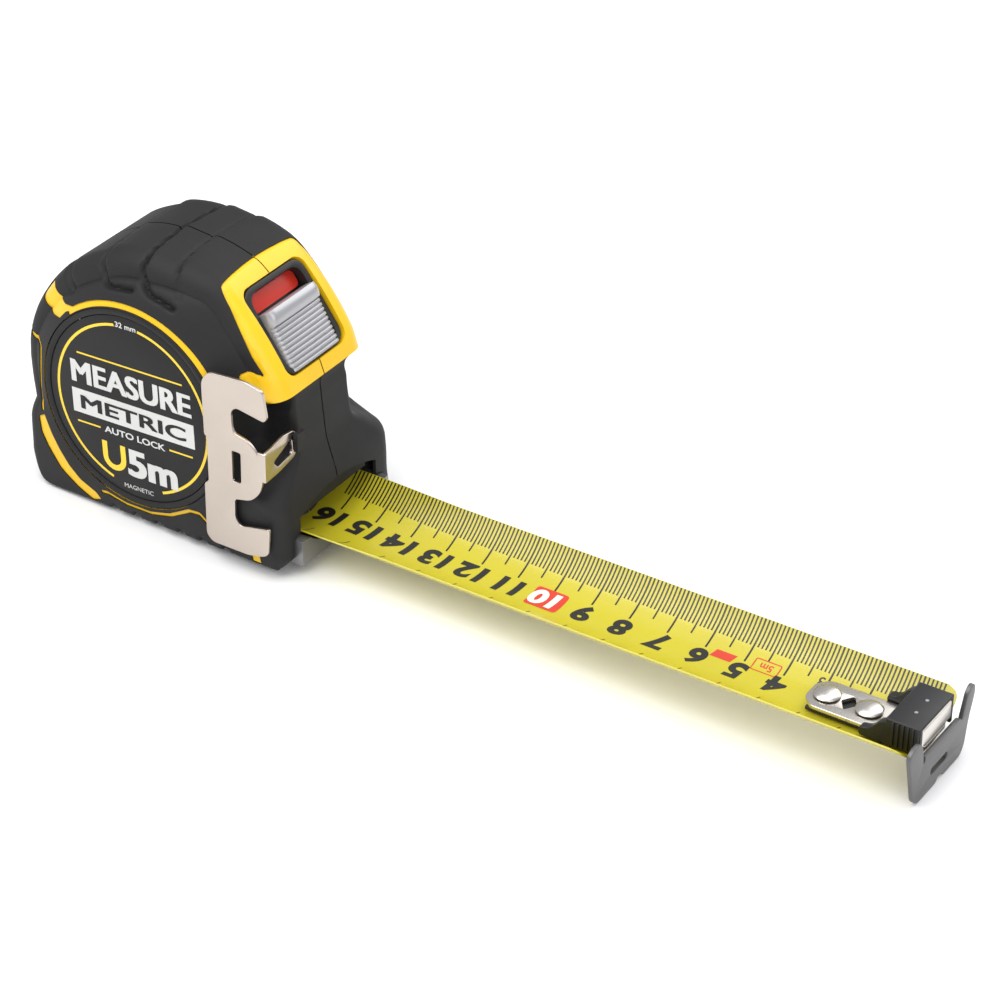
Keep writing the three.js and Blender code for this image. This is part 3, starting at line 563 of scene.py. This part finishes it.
def skinGrid(side, inset=0.0, ridges=True):
    # points of one half of the skin, as rows along the outline by rings from the seam to the label
    rows = smoothOutline()
    x0, z0 = rows[:, 0], rows[:, 1] - case["reelHeight"]
    reach = np.hypot(x0, z0)
    ux, uz = x0 / reach, z0 / reach
    reach = reach - inset
    width = case["halfWidth"] - rows[:, 2] - inset
    radius = np.maximum(rows[:, 3] - inset, 0.4)
    late = np.maximum(rows[:, 4], 0.4)
    faceReach = np.minimum(case["ringInner"], reach - radius - 0.5)
    rings = []
    flatSteps, edgeSteps, swellSteps = 22, 8, 22
    for k in range(flatSteps):
        t = k / flatSteps
        rings.append((reach, 0.15 + (width - radius - 0.15) * t))
    for k in range(edgeSteps + 1):
        a = math.pi / 2 * k / edgeSteps
        rings.append((reach - radius * (1 - math.cos(a)), width - radius * (1 - math.sin(a))))
    start = reach - radius
    for k in range(1, swellSteps + 1):
        t = k / swellSteps
        rise = width + (case["halfWidth"] - inset - width) * t**late
        rings.append((start + (faceReach - start) * t, np.minimum(rise, case["halfWidth"] - 0.02)))
    distance = np.array([r[0] for r in rings])
    y = np.array([r[1] for r in rings])
    x = ux * distance
    z = case["reelHeight"] + uz * distance
    if ridges:
        lift = np.minimum(ridgeHeight(np.stack([x, y, z], -1)) + treadDepth(x, y, z), 0.5)
        bezel = surroundZone(x, y, z)
        lift = lift * np.clip(-bezel / 1.5, 0, 1)
        edge = np.clip((y - width + radius) / radius, 0, 1)
        x = x + ux * lift * (1 - edge * 0.4)
        z = z + uz * lift * (1 - edge * 0.4)
        y = y + np.minimum(lift, 0) * edge * 0.6
    x = np.clip(x, case["back"], case["front"])
    z = np.clip(z, 0, case["top"])
    return np.stack([x, y * side, z], -1)


def clipped(grid, keep, wallDepth):
    # the part of a grid where keep is above zero, with a wall down along the cut edge
    rings, count = keep.shape
    verts, faces = [], []
    index = {}
    walls = []

    def vertex(key, point):
        if key not in index:
            index[key] = len(verts)
            verts.append(point)
        return index[key]

    positive = keep > 0
    for r in range(rings - 1):
        for c in range(count):
            corners = [(r, c), (r, (c + 1) % count), (r + 1, (c + 1) % count), (r + 1, c)]
            flags = [positive[q] for q in corners]
            if not any(flags):
                continue
            if all(flags):
                faces.append(tuple(vertex(q, grid[q]) for q in corners))
                continue
            loop, cuts = [], []
            for i in range(4):
                a, b = corners[i], corners[(i + 1) % 4]
                if positive[a]:
                    loop.append(vertex(a, grid[a]))
                if positive[a] != positive[b]:
                    t = keep[a] / (keep[a] - keep[b])
                    point = grid[a] + (grid[b] - grid[a]) * t
                    v = vertex((min(a, b), max(a, b)), point)
                    loop.append(v)
                    cuts.append(v)
            if len(loop) >= 3:
                faces.append(tuple(loop))
                if len(cuts) == 2:
                    walls.append(cuts)
    low = {}
    for a, b in walls:
        for v in (a, b):
            if v not in low:
                p = np.array(verts[v])
                # towards the reel's axis over the top, and straight in on the flat side
                inward = np.array([-p[0], 0, case["reelHeight"] - p[2]])
                flat = abs(p[1]) / case["halfWidth"]
                inward = inward / max(np.linalg.norm(inward), 1e-6) * (1 - flat**6)
                inward = inward + np.array([0, -np.sign(p[1]) * flat**6, 0])
                inward = inward / np.linalg.norm(inward)
                low[v] = len(verts)
                verts.append(p + inward * wallDepth)
        faces.append((a, b, low[b], low[a]))
    return verts, faces


def buildCase(side, tag):
    grid = skinGrid(side)
    x, y, z = grid[..., 0], grid[..., 1], grid[..., 2]
    bezel = surroundZone(x, y, z)
    yellow = yellowZone(x, y, z)
    openings = np.maximum(mouthZone(x, y, z), -50)
    keep = np.minimum(np.minimum(-bezel - 0.2, -yellow), -openings)
    verts, faces = clipped(grid, keep, 0.9)
    armour = addMesh(f"{tag}_armour_skin", verts, faces, rubber, 30)
    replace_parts(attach(armour, "case"), f"{tag}_armour")

    # yellow casing: flush inside the surround, a little lower in the bands
    low = skinGrid(side, 0.35, ridges=False)
    flush = skinGrid(side, 0.0, ridges=False)
    share = np.clip(bezel / 0.5 + 0.4, 0, 1)[..., None]
    shellGrid = low * (1 - share) + flush * share
    keep = np.maximum(bezel + 0.7, yellow + 0.8)
    keep = np.minimum(keep, -windowZone(x, y, z))
    keep = np.minimum(keep, -openings)
    verts, faces = clipped(shellGrid, keep, 3.2)
    skin = addMesh(f"{tag}_shell_visible", verts, faces, casing, 30)
    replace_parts(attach(skin, "case"), f"{tag}_shell")

    outer, inner = case["ringInner"], case["rimInner"]
    rim = openLathe(f"{tag}_label_rim", [
        (outer, 22.4), (outer - 0.05, 22.95), (outer - 0.3, 23.22), (outer - 0.8, 23.29),
        (inner + 0.5, 23.22), (inner + 0.1, 23.05), (inner, 22.5),
    ], side, rubber)
    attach(rim, "case")


def openLathe(name, profile, side, material, sides=160):
    verts, faces = [], []
    for radius, height in profile:
        for k in range(sides):
            a = 2 * math.pi * k / sides
            verts.append((radius * math.cos(a), height * side, case["reelHeight"] + radius * math.sin(a)))
    for r in range(len(profile) - 1):
        for k in range(sides):
            j = (k + 1) % sides
            faces.append((r * sides + k, r * sides + j, (r + 1) * sides + j, (r + 1) * sides + k))
    return addMesh(name, verts, faces, material, 40)


sides = {"left": -1, "right": 1}
for tag, side in sides.items():
    buildCase(side, tag)
print("case skin built")

# painted shade: a dark sheet inside the case, behind the openings, stands in for the shade inside it, so that nothing
# light shows through them
shadeLiningInset = 3.4
shadeLiningParts = []
for tag, side in sides.items():
    grid = skinGrid(side, shadeLiningInset, ridges=False)
    x, y, z = grid[..., 0], grid[..., 1], grid[..., 2]
    keep = np.minimum(-mouthZone(x, y, z), -windowZone(x, y, z) + 1.0)
    keep = np.minimum(keep, np.where(x < 0, -1.0, 1.0))
    verts, faces = clipped(grid, keep, 1.0)
    # the dark colour of this inner sheet is painted shade
    shadeLiningParts.append(addMesh(f"{tag}_shade_lining_part", verts, faces, darkCase, 30))
shadeLiningPiece = joined("case_shade_lining", shadeLiningParts)
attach(shadeLiningPiece, "case")

# --- label ---

label = {"radius": 24.25, "height": 22.95, "ringRadius": 21.8, "ringWidth": 0.35, "tilt": 2.0}


def labelPoint(a, b, side, lift):
    # `a` runs to the reader's right and `b` up, on the flat disc of that side
    tilt = math.radians(label["tilt"])
    c, s = math.cos(tilt), math.sin(tilt)
    u, v = a * c - b * s, a * s + b * c
    return (-side * u, side * (label["height"] + lift), case["reelHeight"] + v)


def labelPatch(name, points, faces, side, material, lift=0.03):
    return addMesh(name, [labelPoint(a, b, side, lift) for a, b in points], faces, material)


def bar(points, half, caps=False):
    # flat ribbon along a run of points
    verts, faces = [], []
    for i, p in enumerate(points):
        a = Vector(points[max(i - 1, 0)])
        b = Vector(points[min(i + 1, len(points) - 1)])
        d = (b - a).normalized()
        n = Vector((-d.y, d.x)) * half
        verts += [(p[0] + n.x, p[1] + n.y), (p[0] - n.x, p[1] - n.y)]
        if i:
            k = 2 * i
            faces.append((k - 2, k - 1, k + 1, k))
    return verts, faces


def arc(radius, start, end, steps=48):
    out = []
    for k in range(steps + 1):
        a = math.radians(start + (end - start) * k / steps)
        out.append((radius * math.cos(a), radius * math.sin(a)))
    return out


def buildLabel(side, tag):
    r = label["radius"]
    face = label["height"]
    profile = [(r, 22.4), (r - 0.1, 22.88), (r - 0.3, face), (12, face), (0.01, face)]
    disc = openLathe(f"{tag}_label_disc", profile, side, labelFilm)
    parts = [disc]
    for start, end in ((-71, 81), (99, 250)):
        verts, faces = bar(arc(label["ringRadius"], start, end), label["ringWidth"])
        parts.append(labelPatch(f"{tag}_arc", verts, faces, side, yellowInk))
    for a0, b0, a1, b1 in ((-15.4, 11, 15.4, 11), (-17, -7.9, -10.2, -7.9), (10.2, -7.9, 17, -7.9)):
        verts, faces = bar([(a0, b0), (a1, b1)], 0.22)
        parts.append(labelPatch(f"{tag}_line", verts, faces, side, yellowInk))
    panel = [(-17.9, -5.5), (17.9, -5.5), (17.9, 1), (-17.9, 1)]
    parts.append(labelPatch(f"{tag}_panel", panel, [(0, 1, 2, 3)], side, labelInk))
    # text: words, cap height, whole width, where its foot is, weight, extra stem width, ink
    words = [
        ("MEASURE", 6.0, 34.6, 0, 2.9, 0, 0.34, labelInk),
        ("METRIC", 3.6, 30.6, 0, -4.1, 0, 0.24, labelFilm),
        ("AUTO LOCK", 1.7, 18.0, 0, -8.7, 0.06, 0, labelInk),
        ("5m", 7.2, 14.0, 4.6, -18.6, 0.12, 0.4, labelInk),
        ("32 mm", 1.4, 6.0, 0, 21.2, 0.04, 0, labelInk),
        ("MAGNETIC", 1.2, 8.6, 0, -22.4, 0, 0, labelInk),
    ]
    for text, cap, wide, a, b, bold, widen, ink in words:
        verts, faces = glyphs(text, cap / 0.72, bold)
        low, high = min(v[0] for v in verts), max(v[0] for v in verts)
        base = min(v[1] for v in verts)
        stretch = wide / (high - low)
        spots = [((u - (low + high) / 2) * stretch + a, v - base + b) for u, v in verts]
        # shifted copies thicken the strokes, each a little higher than the last
        shifts = [(-1, -0.4), (-1, 0.4), (0, 0), (1, -0.4), (1, 0.4)] if widen else [(0, 0)]
        for n, (across, rise) in enumerate(shifts):
            copy = [(u + across * widen, v + rise * widen) for u, v in spots]
            parts.append(labelPatch(f"{tag}_word", copy, faces, side, ink, 0.05 + 0.012 * n))
    # horseshoe magnet mark
    shoe = [(-9.4, -11.2), (-9.4, -15.2)] + [
        (-6.7 + 2.7 * math.cos(math.radians(t)), -15.2 + 2.7 * math.sin(math.radians(t))) for t in range(195, 346, 15)
    ] + [(-4, -15.2), (-4, -11.2)]
    verts, faces = bar(shoe, 0.75)
    parts.append(labelPatch(f"{tag}_magnet", verts, faces, side, yellowInk))
    piece = joined(f"{tag}_label_print", parts)
    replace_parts(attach(piece, "case"), f"{tag}_label")


for tag, side in sides.items():
    buildLabel(side, tag)
print("labels printed")

# --- blade ---


def bladeRadius(x):
    t = min(max((x - case["front"]) / (blade["freeAt"] - case["front"]), 0), 1)
    t = t * t * (3 - 2 * t)
    return blade["mouthRadius"] * (1 - t) + blade["freeRadius"] * t


def bladePoint(x, v, lift=0.0):
    # v is the way round the curved section from its middle, towards +Y
    r = bladeRadius(x)
    centre = blade["edgeHeight"] + r * math.cos(blade["width"] / 2 / r)
    a = v / r
    return (x, (r - lift) * math.sin(a), centre - (r - lift) * math.cos(a))


def bladeEnd(v):
    # the end corners are rounded
    r = blade["cornerRadius"]
    edge = abs(v) - (blade["width"] / 2 - r)
    return blade["end"] - (r - math.sqrt(max(r * r - edge * edge, 0)) if edge > 0 else 0)


def bladeSurface(lift):
    verts, faces = [], []
    across, lengthwise = 40, 150
    for i in range(lengthwise + 1):
        for j in range(across + 1):
            v = blade["width"] * (j / across - 0.5) * 0.9995
            x = blade["start"] + (bladeEnd(v) - blade["start"]) * i / lengthwise
            verts.append(bladePoint(x, v, lift))
    for i in range(lengthwise):
        for j in range(across):
            a = i * (across + 1) + j
            faces.append((a, a + 1, a + across + 2, a + across + 1))
    return verts, faces, across, lengthwise


def buildBlade():
    top, faces, across, lengthwise = bladeSurface(0.0)
    under = bladeSurface(-blade["thickness"])[0]
    n = len(top)
    allFaces = list(faces) + [tuple(q + n for q in reversed(f)) for f in faces]
    row = across + 1
    rim = [(i * row, (i + 1) * row) for i in range(lengthwise)]
    rim += [(lengthwise * row + j, lengthwise * row + j + 1) for j in range(across)]
    rim += [((i + 1) * row + across, i * row + across) for i in range(lengthwise - 1, -1, -1)]
    allFaces += [(a, b, b + n, a + n) for a, b in rim]
    return addMesh("blade_curved", top + under, allFaces, bladePaint, 30)


def bladeStamp(name, verts, faces, s0, v0, material, lift):
    # flat drawing laid on the blade: its x runs towards higher readings
    points = [bladePoint(blade["scaleZero"] - (s0 + a), v0 - b, lift) for a, b in verts]
    return addMesh(name, points, faces, material, 60)


def tick(s, v0, v1, half):
    verts, faces = [], []
    steps = max(int(abs(v1 - v0) / 0.8), 2)
    for k in range(steps + 1):
        v = v0 + (v1 - v0) * k / steps
        verts += [(s - half, v), (s + half, v)]
        if k:
            q = 2 * k
            faces.append((q - 2, q - 1, q + 1, q))
    return verts, faces


def buildScale():
    black, red, white = [], [], []
    edge = blade["width"] / 2
    lift = 0.035
    lines, lineFaces = [], []

    def rule(s, v0, v1, half):
        verts, faces = tick(s, v0, v1, half)
        base = len(lines)
        lines.extend(bladePoint(blade["scaleZero"] - a, v, lift) for a, v in verts)
        lineFaces.extend(tuple(q + base for q in f) for f in faces)

    last = int(blade["scaleZero"] - case["front"] + 6)
    for s in range(5, last):
        long = 11.6 if s % 10 == 0 else (9.4 if s % 5 == 0 else 7.0)
        rule(s, edge - 0.1, edge - long, 0.2 if s % 10 else 0.23)
        if s % 10 == 0:
            rule(s, -edge + 0.15, -edge + 9.5, 0.14)
        elif s % 5 == 0:
            rule(s, -edge + 0.15, -edge + 5.5, 0.12)
    black.append(addMesh("ruled_lines", lines, lineFaces, bladeInk, 60))
    for n in range(2, 17):
        s = n * 10
        if s > last:
            break
        if n < 4:
            verts, faces = glyphs(str(n), 3.6, 0.03)
            black.append(bladeStamp("numeral", verts, faces, s + 1.6, edge - 8.4, bladeInk, lift))
            continue
        ten = n % 10 == 0
        if ten:
            box = rounded([(-4.3, -0.8), (4.3, -0.8), (4.3, 6.6), (-4.3, 6.6)], 1.0)
            verts, faces = gridFill(box, 0.8)
            red.append(bladeStamp("numeral_box", verts, faces, s, edge - 12.4, redInk, lift))
        verts, faces = glyphs(str(n), 7.8 if not ten else 7.2, 0.35)
        verts = [(a * 1.12 + b * 0.1, b) for a, b in verts]
        target = white if ten else black
        ink = whiteInk if ten else bladeInk
        target.append(bladeStamp("numeral", verts, faces, s, edge - 12.7, ink, lift * 2))
    markAt, barAt = 44.6, 55
    mark = rounded([(-3.2, -1.7), (3.2, -1.7), (3.2, 1.7), (-3.2, 1.7)], 0.4)
    ringVerts, ringFaces = bar(mark + [mark[0]], 0.14)
    red.append(bladeStamp("mark_box", ringVerts, ringFaces, markAt, edge - 11.2, redInk, lift))
    verts, faces = glyphs("5m", 2.7, 0.05)
    verts = [(a, b - 0.9) for a, b in verts]
    red.append(bladeStamp("mark_word", verts, faces, markAt, edge - 11.2, redInk, lift))
    verts, faces = gridFill([(-3, -1.2), (2.2, -1.2), (3, 1.2), (-2.2, 1.2)], 0.8)
    red.append(bladeStamp("mark_bar", verts, faces, barAt, edge - 12.2, redInk, lift))
    return joined("blade_print", black + red + white)


def gridFill(loop, pitch):
    # flat filled outline that can follow the curve of the blade
    bm = bmesh.new()
    bm.faces.new([bm.verts.new((a, b, 0)) for a, b in loop])
    cutStrips(bm, pitch)
    bmesh.ops.triangulate(bm, faces=bm.faces)
    return flatLists(bm)


def shorten(obj):
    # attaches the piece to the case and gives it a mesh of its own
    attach(obj, "case")
    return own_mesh(obj)


bladePiece = buildBlade()
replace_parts(shorten(bladePiece), "blade_strip")
scalePrint = buildScale()
shorten(scalePrint)
print("blade and scale built")

# --- hook ---

hookFace = blade["scaleZero"]
tongueFloor, tongueTop = 3.57, 4.57
housing = {"back": hookFace - 8.8, "half": 8.4, "wallFloor": 3.4, "top": 10.6, "ribs": 6}
acrossPlane = basis((hookFace + 0.55, 0, 0), (0, 1, 0), (0, 0, 1), (1, 0, 0))
hookShape = [
    (-15.4, 7.8), (-11.9, -5.6), (-9.9, -7.3), (-1, -7.3), (0, -6.3), (1.6, -6.3), (2.6, -7.3), (11, -7.3),
    (12.6, -5.4), (13.8, 1.2), (15.8, 6.6), (15.8, 8.8), (14.9, 9.8), (13.5, 9.6), (12.4, 8.6), (10.2, 2.6),
    (9.2, 3.9), (-7.4, 3.9), (-7.4, 2.4), (-8.2, 2.4), (-8.6, 6.4), (-10.3, 9.3), (-13.6, 9.3),
]
hookRadii = [1.4, 1.2, 1.2, 0.6, 0.4, 0.4, 0.6, 1.4, 1.4, 2, 1.2, 1, 1, 1, 1, 0.7, 0.7, 0.3, 0.3, 0.4, 2, 1.6, 1.6]
hookSlot = rounded([(-4, -3.4), (4, -3.4), (4, -1.6), (-4, -1.6)], 0.85)
hookPlate = plate("hook_plate_coated", [rounded(hookShape, hookRadii), hookSlot], 1.1, acrossPlane, coated, 0.18)
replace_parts(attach(hookPlate, "hook"), "hook_plate")

flatPlane = basis((0, 0, (tongueFloor + tongueTop) / 2), (1, 0, 0), (0, 1, 0), (0, 0, 1))
tongueHalf, tongueStart = 5.4, hookFace - 31
tongueShape = rounded([
    (tongueStart + 2.6, -tongueHalf), (hookFace - 0.3, -tongueHalf), (hookFace - 0.3, tongueHalf),
    (tongueStart + 2.6, tongueHalf), (tongueStart, tongueHalf - 2.6), (tongueStart, -tongueHalf + 2.6),
], 1.2)
rivetSpots = [hookFace - 26.8, hookFace - 16.4]
middle = sum(rivetSpots) / 2 + 0.2
diamond = rounded([(middle - 1.9, 0), (middle, -2.8), (middle + 1.9, 0), (middle, 2.8)], 0.5)
tongue = plate("hook_tongue_plated", [tongueShape, diamond], 0.98, flatPlane, nickel, 0.2)
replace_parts(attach(tongue, "hook"), "hook_tongue")

for i, spot in enumerate(rivetSpots):
    profile = [(0.01, 5.87), (1.2, 5.84), (2.2, 5.68), (2.9, 5.4), (3.2, 5.1), (3.2, 4.9), (1.4, 4.88), (1.4, 0.9)]
    head = lathe(f"hook_rivet_round_{i + 1}", profile, (spot, 0, 0), (0, 0, 1), nickel, 40)
    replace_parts(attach(head, "blade"), f"hook_rivet_{i + 1}")


def buildHousing():
    back, half, top = housing["back"], housing["half"], housing["top"]
    front = hookFace - 0.3
    parts = [block("housing_roof", back, front, -half + 0.3, half - 0.3, 9.9, top, darkCase, 0.35)]
    wing = rounded([
        (back - 6.4, tongueFloor), (back + 1, tongueFloor), (back + 1, top - 0.8), (back - 1.4, top - 1.6),
        (back - 3.6, top - 4.4), (back - 6.4, tongueTop + 1.2),
    ], 1.2)
    for sign in (-1, 1):
        a, b = sorted((sign * (half - 0.4), sign * 6.9))
        parts.append(block("housing_wall", back, front, a, b, housing["wallFloor"], top - 0.1, darkCase, 0.3))
        for k in range(housing["ribs"]):
            x = back + 1.6 + k * 1.2
            a, b = sorted((sign * half, sign * (half - 0.8)))
            parts.append(block("housing_rib", x, x + 0.62, a, b, 4.0, top - 0.3, darkCase, 0.2, 2))
        wingPlane = basis((0, sign * 6.85, 0), (1, 0, 0), (0, 0, 1), (0, -1, 0))
        parts.append(plate("housing_wing", [wing], 2.2, wingPlane, darkCase, 0.3))
        pin = [(0.42, top), (0.42, top - 0.06), (0.01, top - 0.06)]
        parts.append(lathe("housing_pin", pin, (back + 4.6, sign * 2.6, 0.01), (0, 0, 1), steel, 20))
    rear = (back, back + 1.8, -half + 0.6, half - 0.6, tongueTop + 0.35, top - 0.2)
    parts.append(block("housing_back", *rear, darkCase, 0.3))
    spacer = (tongueStart + 1.2, back + 1, -4.8, 4.8, 2.3, tongueFloor - 0.25)
    parts.append(block("housing_spacer", *spacer, darkCase, 0.3))
    return joined("magnet_housing_ribbed", parts)


housingPiece = buildHousing()
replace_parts(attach(housingPiece, "hook"), "magnet_housing")
magnetPiece = block("hook_magnet_plated", hookFace - 6.4, hookFace - 0.2, -6.8, 6.8, 5.17, 9.77, nickel, 0.35)
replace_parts(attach(magnetPiece, "hook"), "hook_magnet")
print("hook built")

# --- thumb lock ---

slopeU = Vector((0, 1, 0))
slopeV = Vector((along.x, 0, along.y))
slopeW = Vector((outward.x, 0, outward.y))


def slopePlane(off):
    p = onSlope(0, off)
    return basis((p[0], 0, p[1]), slopeU, slopeV, slopeW)


frameFoot, frameTop, frameHalf = window["foot"] + 0.3, window["top"] - 0.3, window["half"] - 0.3
outer = rounded([
    (-frameHalf, frameFoot), (frameHalf, frameFoot), (frameHalf, frameTop), (-frameHalf, frameTop),
], 4.2, 8)
inner = rounded([
    (-frameHalf + 1.7, frameFoot + 0.8), (frameHalf - 1.7, frameFoot + 0.8), (frameHalf - 1.7, frameTop - 1.6),
    (-frameHalf + 1.7, frameTop - 1.6),
], 3.4, 8)
ring = plate("frame_ring", [outer, inner], 4.2, slopePlane(-1.25), darkCase, 0.45, 3)
floorPlate = plate("frame_floor", [outer], 0.8, slopePlane(-3.0), darkCase, 0.1)
framePiece = joined("slider_frame_rounded", [ring, floorPlate])
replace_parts(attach(framePiece, "case"), "slider_frame")

slider = {"foot": frameFoot + 0.4, "length": 15.2, "half": 9.25, "base": -1.6, "ribs": 10, "pitch": 1.15}


# one rib of the slider: share of the pitch, and how far it is below the rib's top
ribShape = [(0.02, 0.42), (0.14, 0.08), (0.3, 0.0), (0.58, 0.0), (0.72, 0.1), (0.8, 0.45), (0.98, 0.45)]


def sliderProfile():
    foot = slider["foot"]
    profile = [(foot + 0.1, slider["base"]), (foot, slider["base"] + 0.4), (foot, 1.0)]
    for i in range(slider["ribs"]):
        up = foot + i * slider["pitch"]
        rise = 1.55 + 1.35 * i / slider["ribs"]
        for share, drop in ribShape:
            profile.append((up + share * slider["pitch"], rise - drop))
    up = foot + slider["ribs"] * slider["pitch"]
    for share in range(9):
        t = share / 8
        profile.append((up + 0.1 + 3.6 * t, 3.0 + 1.1 * math.sin(math.pi * (0.12 + 0.62 * t))))
    end = foot + slider["length"]
    profile += [(end - 0.25, 3.3), (end, 2.7), (end, slider["base"] + 0.3), (end - 0.1, slider["base"])]
    return profile


def buildSlider():
    profile = sliderProfile()
    across = 28
    verts, faces = [], []
    for up, off in profile:
        for j in range(across + 1):
            y = slider["half"] * (2 * j / across - 1)
            edge = abs(y) / slider["half"]
            fall = 0.9 * (max(edge - 0.86, 0) / 0.14) ** 2 + 0.35 * edge**2
            x, z = onSlope(up, off - fall if off > 0 else off)
            verts.append((x, y, z))
    row = across + 1
    for i in range(len(profile) - 1):
        for j in range(across):
            a = i * row + j
            faces.append((a, a + 1, a + row + 1, a + row))
    for j in (0, across):
        faces.append(tuple(i * row + j for i in range(len(profile))))
    return addMesh("lock_slider_ribbed", verts, faces, silver, 50)


sliderPiece = buildSlider()
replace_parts(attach(sliderPiece, "lock"), "lock_slider")
flagHalf, flagFoot, flagTop = frameHalf - 2, slider["foot"] + slider["length"] + 0.5, frameTop - 1.9
flagShape = rounded([(-flagHalf, flagFoot), (flagHalf, flagFoot), (flagHalf, flagTop), (-flagHalf, flagTop)], 1.6)
flagPiece = plate("lock_flag_red", [flagShape], 0.38, slopePlane(-1.92), redPlastic, 0.08)
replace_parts(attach(flagPiece, "case"), "lock_flag")
print("thumb lock built")

# --- belt clip ---

clipPlaneY = -24.0
clipThickness = 0.9
clipShape = [
    (24.2, 50), (22, 47.2), (22.3, 32.9), (23, 32.3), (23.1, 20.4), (21.9, 19.5), (21.9, 5.4), (23.6, 3.7), (34, 3.7),
    (38, 4.6), (39.6, 5.6), (40.2, 12.8), (31.8, 11), (30.4, 12.6), (30.5, 17.9), (35.2, 19), (38, 22), (38.9, 27),
    (38, 31.6), (35.1, 35), (30.9, 36), (30.4, 37.2), (30.2, 41.4), (31.7, 42.9), (39.5, 41.6), (40.4, 42.8),
    (39.3, 49.5), (34.5, 50.7),
]
clipRadii = [1.2, 2.4, 0.6, 0.6, 0.6, 0.6, 1.6, 1.2, 1, 1, 0.8, 0.8, 1.2, 1.4, 1, 1.6, 2, 2.4, 2.4, 2, 1, 0.8, 1.4,
             1.4, 0.6, 0.8, 0.8, 1.4]
clipSlot = rounded([(30.1, 31), (32.6, 31), (32.5, 22.9), (30.1, 22.7)], 0.6)
sidePlane = basis((0, clipPlaneY - clipThickness / 2, 0), (1, 0, 0), (0, 0, 1), (0, -1, 0))
clipLoops = [rounded(clipShape, clipRadii), clipSlot]
clipParts = [plate("clip_plate", clipLoops, clipThickness, sidePlane, clipPlate, 0.22, 3)]
earPlane = basis((39.15, 0, 0), (0, 1, 0), (0, 0, 1), (1, 0, 0))
earShape = rounded([
    (-24.8, 25.2), (-19.5, 25.6), (-13.6, 26.8), (-12.5, 28), (-12.5, 32.8), (-13.6, 33.9), (-17.2, 34.4),
    (-21.4, 33.4), (-24.8, 33),
], 0.8)
earHole = rounded([(-21.6, 29.3), (-19.8, 27.2), (-14, 28.2), (-14.4, 32.2)], 0.9)
clipParts.append(plate("clip_ear", [earShape, earHole], 0.88, earPlane, clipPlate, 0.2, 3))
clipParts.append(block("clip_bend", 37.2, 39.55, -24.88, clipPlaneY, 25.2, 32.9, clipPlate, 0.35, 4))
clipPiece = joined("belt_clip_plated", clipParts)
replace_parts(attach(clipPiece, "clip"), "belt_clip")
print("belt clip built")

# --- nodes that stay as they are ---

nodeLooks = {
    "blade_coil": bladePaint, "reel_drum": darkCase, "reel_cover": darkCase, "centre_post": steel,
    "power_spring": steel, "slider_carrier": darkCase, "brake_pad": darkCase, "hook_bumper": rubber,
    "brake_leaf_spring": steel, "release_button": buttonMetal,
    "button_spring_left": steel, "button_spring_right": steel,
    "clip_anchor": rubber, "case_screw_1": steel, "case_screw_2": steel, "case_screw_3": steel, "case_screw_4": steel,
}
for name, look in nodeLooks.items():
    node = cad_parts[name]
    node.data.materials.clear()
    node.data.materials.append(look)

# --- floor, light and camera ---

floorMaterial = finish("pale floor", (0.93, 0.93, 0.93), 0.6, scale=300, depth=0.000002, darker=0.985)
floorMesh = bpy.data.meshes.new("floor")
floorHalf = 4.0
# the case's heel and the hook's foot both touch the floor, so the floor tilts under them
hookDrop, heelToHook = 7.3, 200.5 + 31
tilt = math.atan2(hookDrop, heelToHook)
corners = [(-1, -1, 0), (1, -1, 0), (1, 1, 0), (-1, 1, 0)]
floorMesh.from_pydata([Vector(c) * floorHalf for c in corners], [], [(0, 1, 2, 3)])
floorMesh.materials.append(floorMaterial)
floor = bpy.data.objects.new("floor", floorMesh)
scene.collection.objects.link(floor)
floor.rotation_euler = (0, tilt, 0)
floor.location = (-0.031, 0, -0.0002)

# name, place, size, power, colour
lights = [
    ("key", (-0.25, -0.55, 0.9), 0.9, 8.5, (1, 0.99, 0.97)),
    ("fill", (0.85, -0.5, 0.5), 0.8, 3.2, (0.97, 0.98, 1)),
    ("back", (0.3, 0.9, 0.8), 0.9, 6, (1, 1, 1)),
    ("top", (0.1, 0.0, 1.3), 1.2, 7, (1, 1, 1)),
]
target = Vector((0.07, 0, 0.03))
for name, place, size, power, colour in lights:
    data = bpy.data.lights.new(name, "AREA")
    data.size = size
    data.energy = power
    data.color = colour
    lamp = bpy.data.objects.new(name, data)
    lamp.location = place
    lamp.rotation_mode = "QUATERNION"
    lamp.rotation_quaternion = (target - Vector(place)).to_track_quat("-Z", "Y")
    scene.collection.objects.link(lamp)

scene.view_settings.view_transform = "Standard"
world = bpy.data.worlds.new("studio")
scene.world = world
world.use_nodes = True
world.node_tree.nodes["Background"].inputs["Color"].default_value = (0.95, 0.96, 1.0, 1)
world.node_tree.nodes["Background"].inputs["Strength"].default_value = 0.5

cameraData = bpy.data.cameras.new("camera")
cameraData.sensor_width = 36
cameraData.lens = 123.5
cameraData.clip_start, cameraData.clip_end = 0.01, 20
camera = bpy.data.objects.new("camera", cameraData)
scene.collection.objects.link(camera)
scene.camera = camera
azimuth, elevation, roll = math.radians(32.45), math.radians(32.84), math.radians(0.68)
backward = Vector((
    math.sin(azimuth) * math.cos(elevation), -math.cos(azimuth) * math.cos(elevation), math.sin(elevation),
))
right = (-backward).cross(Vector((0, 0, 1))).normalized()
up = right.cross(-backward)
rolledRight = right * math.cos(roll) + up * math.sin(roll)
rolledUp = up * math.cos(roll) - right * math.sin(roll)
place = Matrix((rolledRight, rolledUp, backward)).transposed().to_4x4()
place.translation = Vector((0.4388, -0.5529, 0.4476))
camera.matrix_world = place
print("stage set")
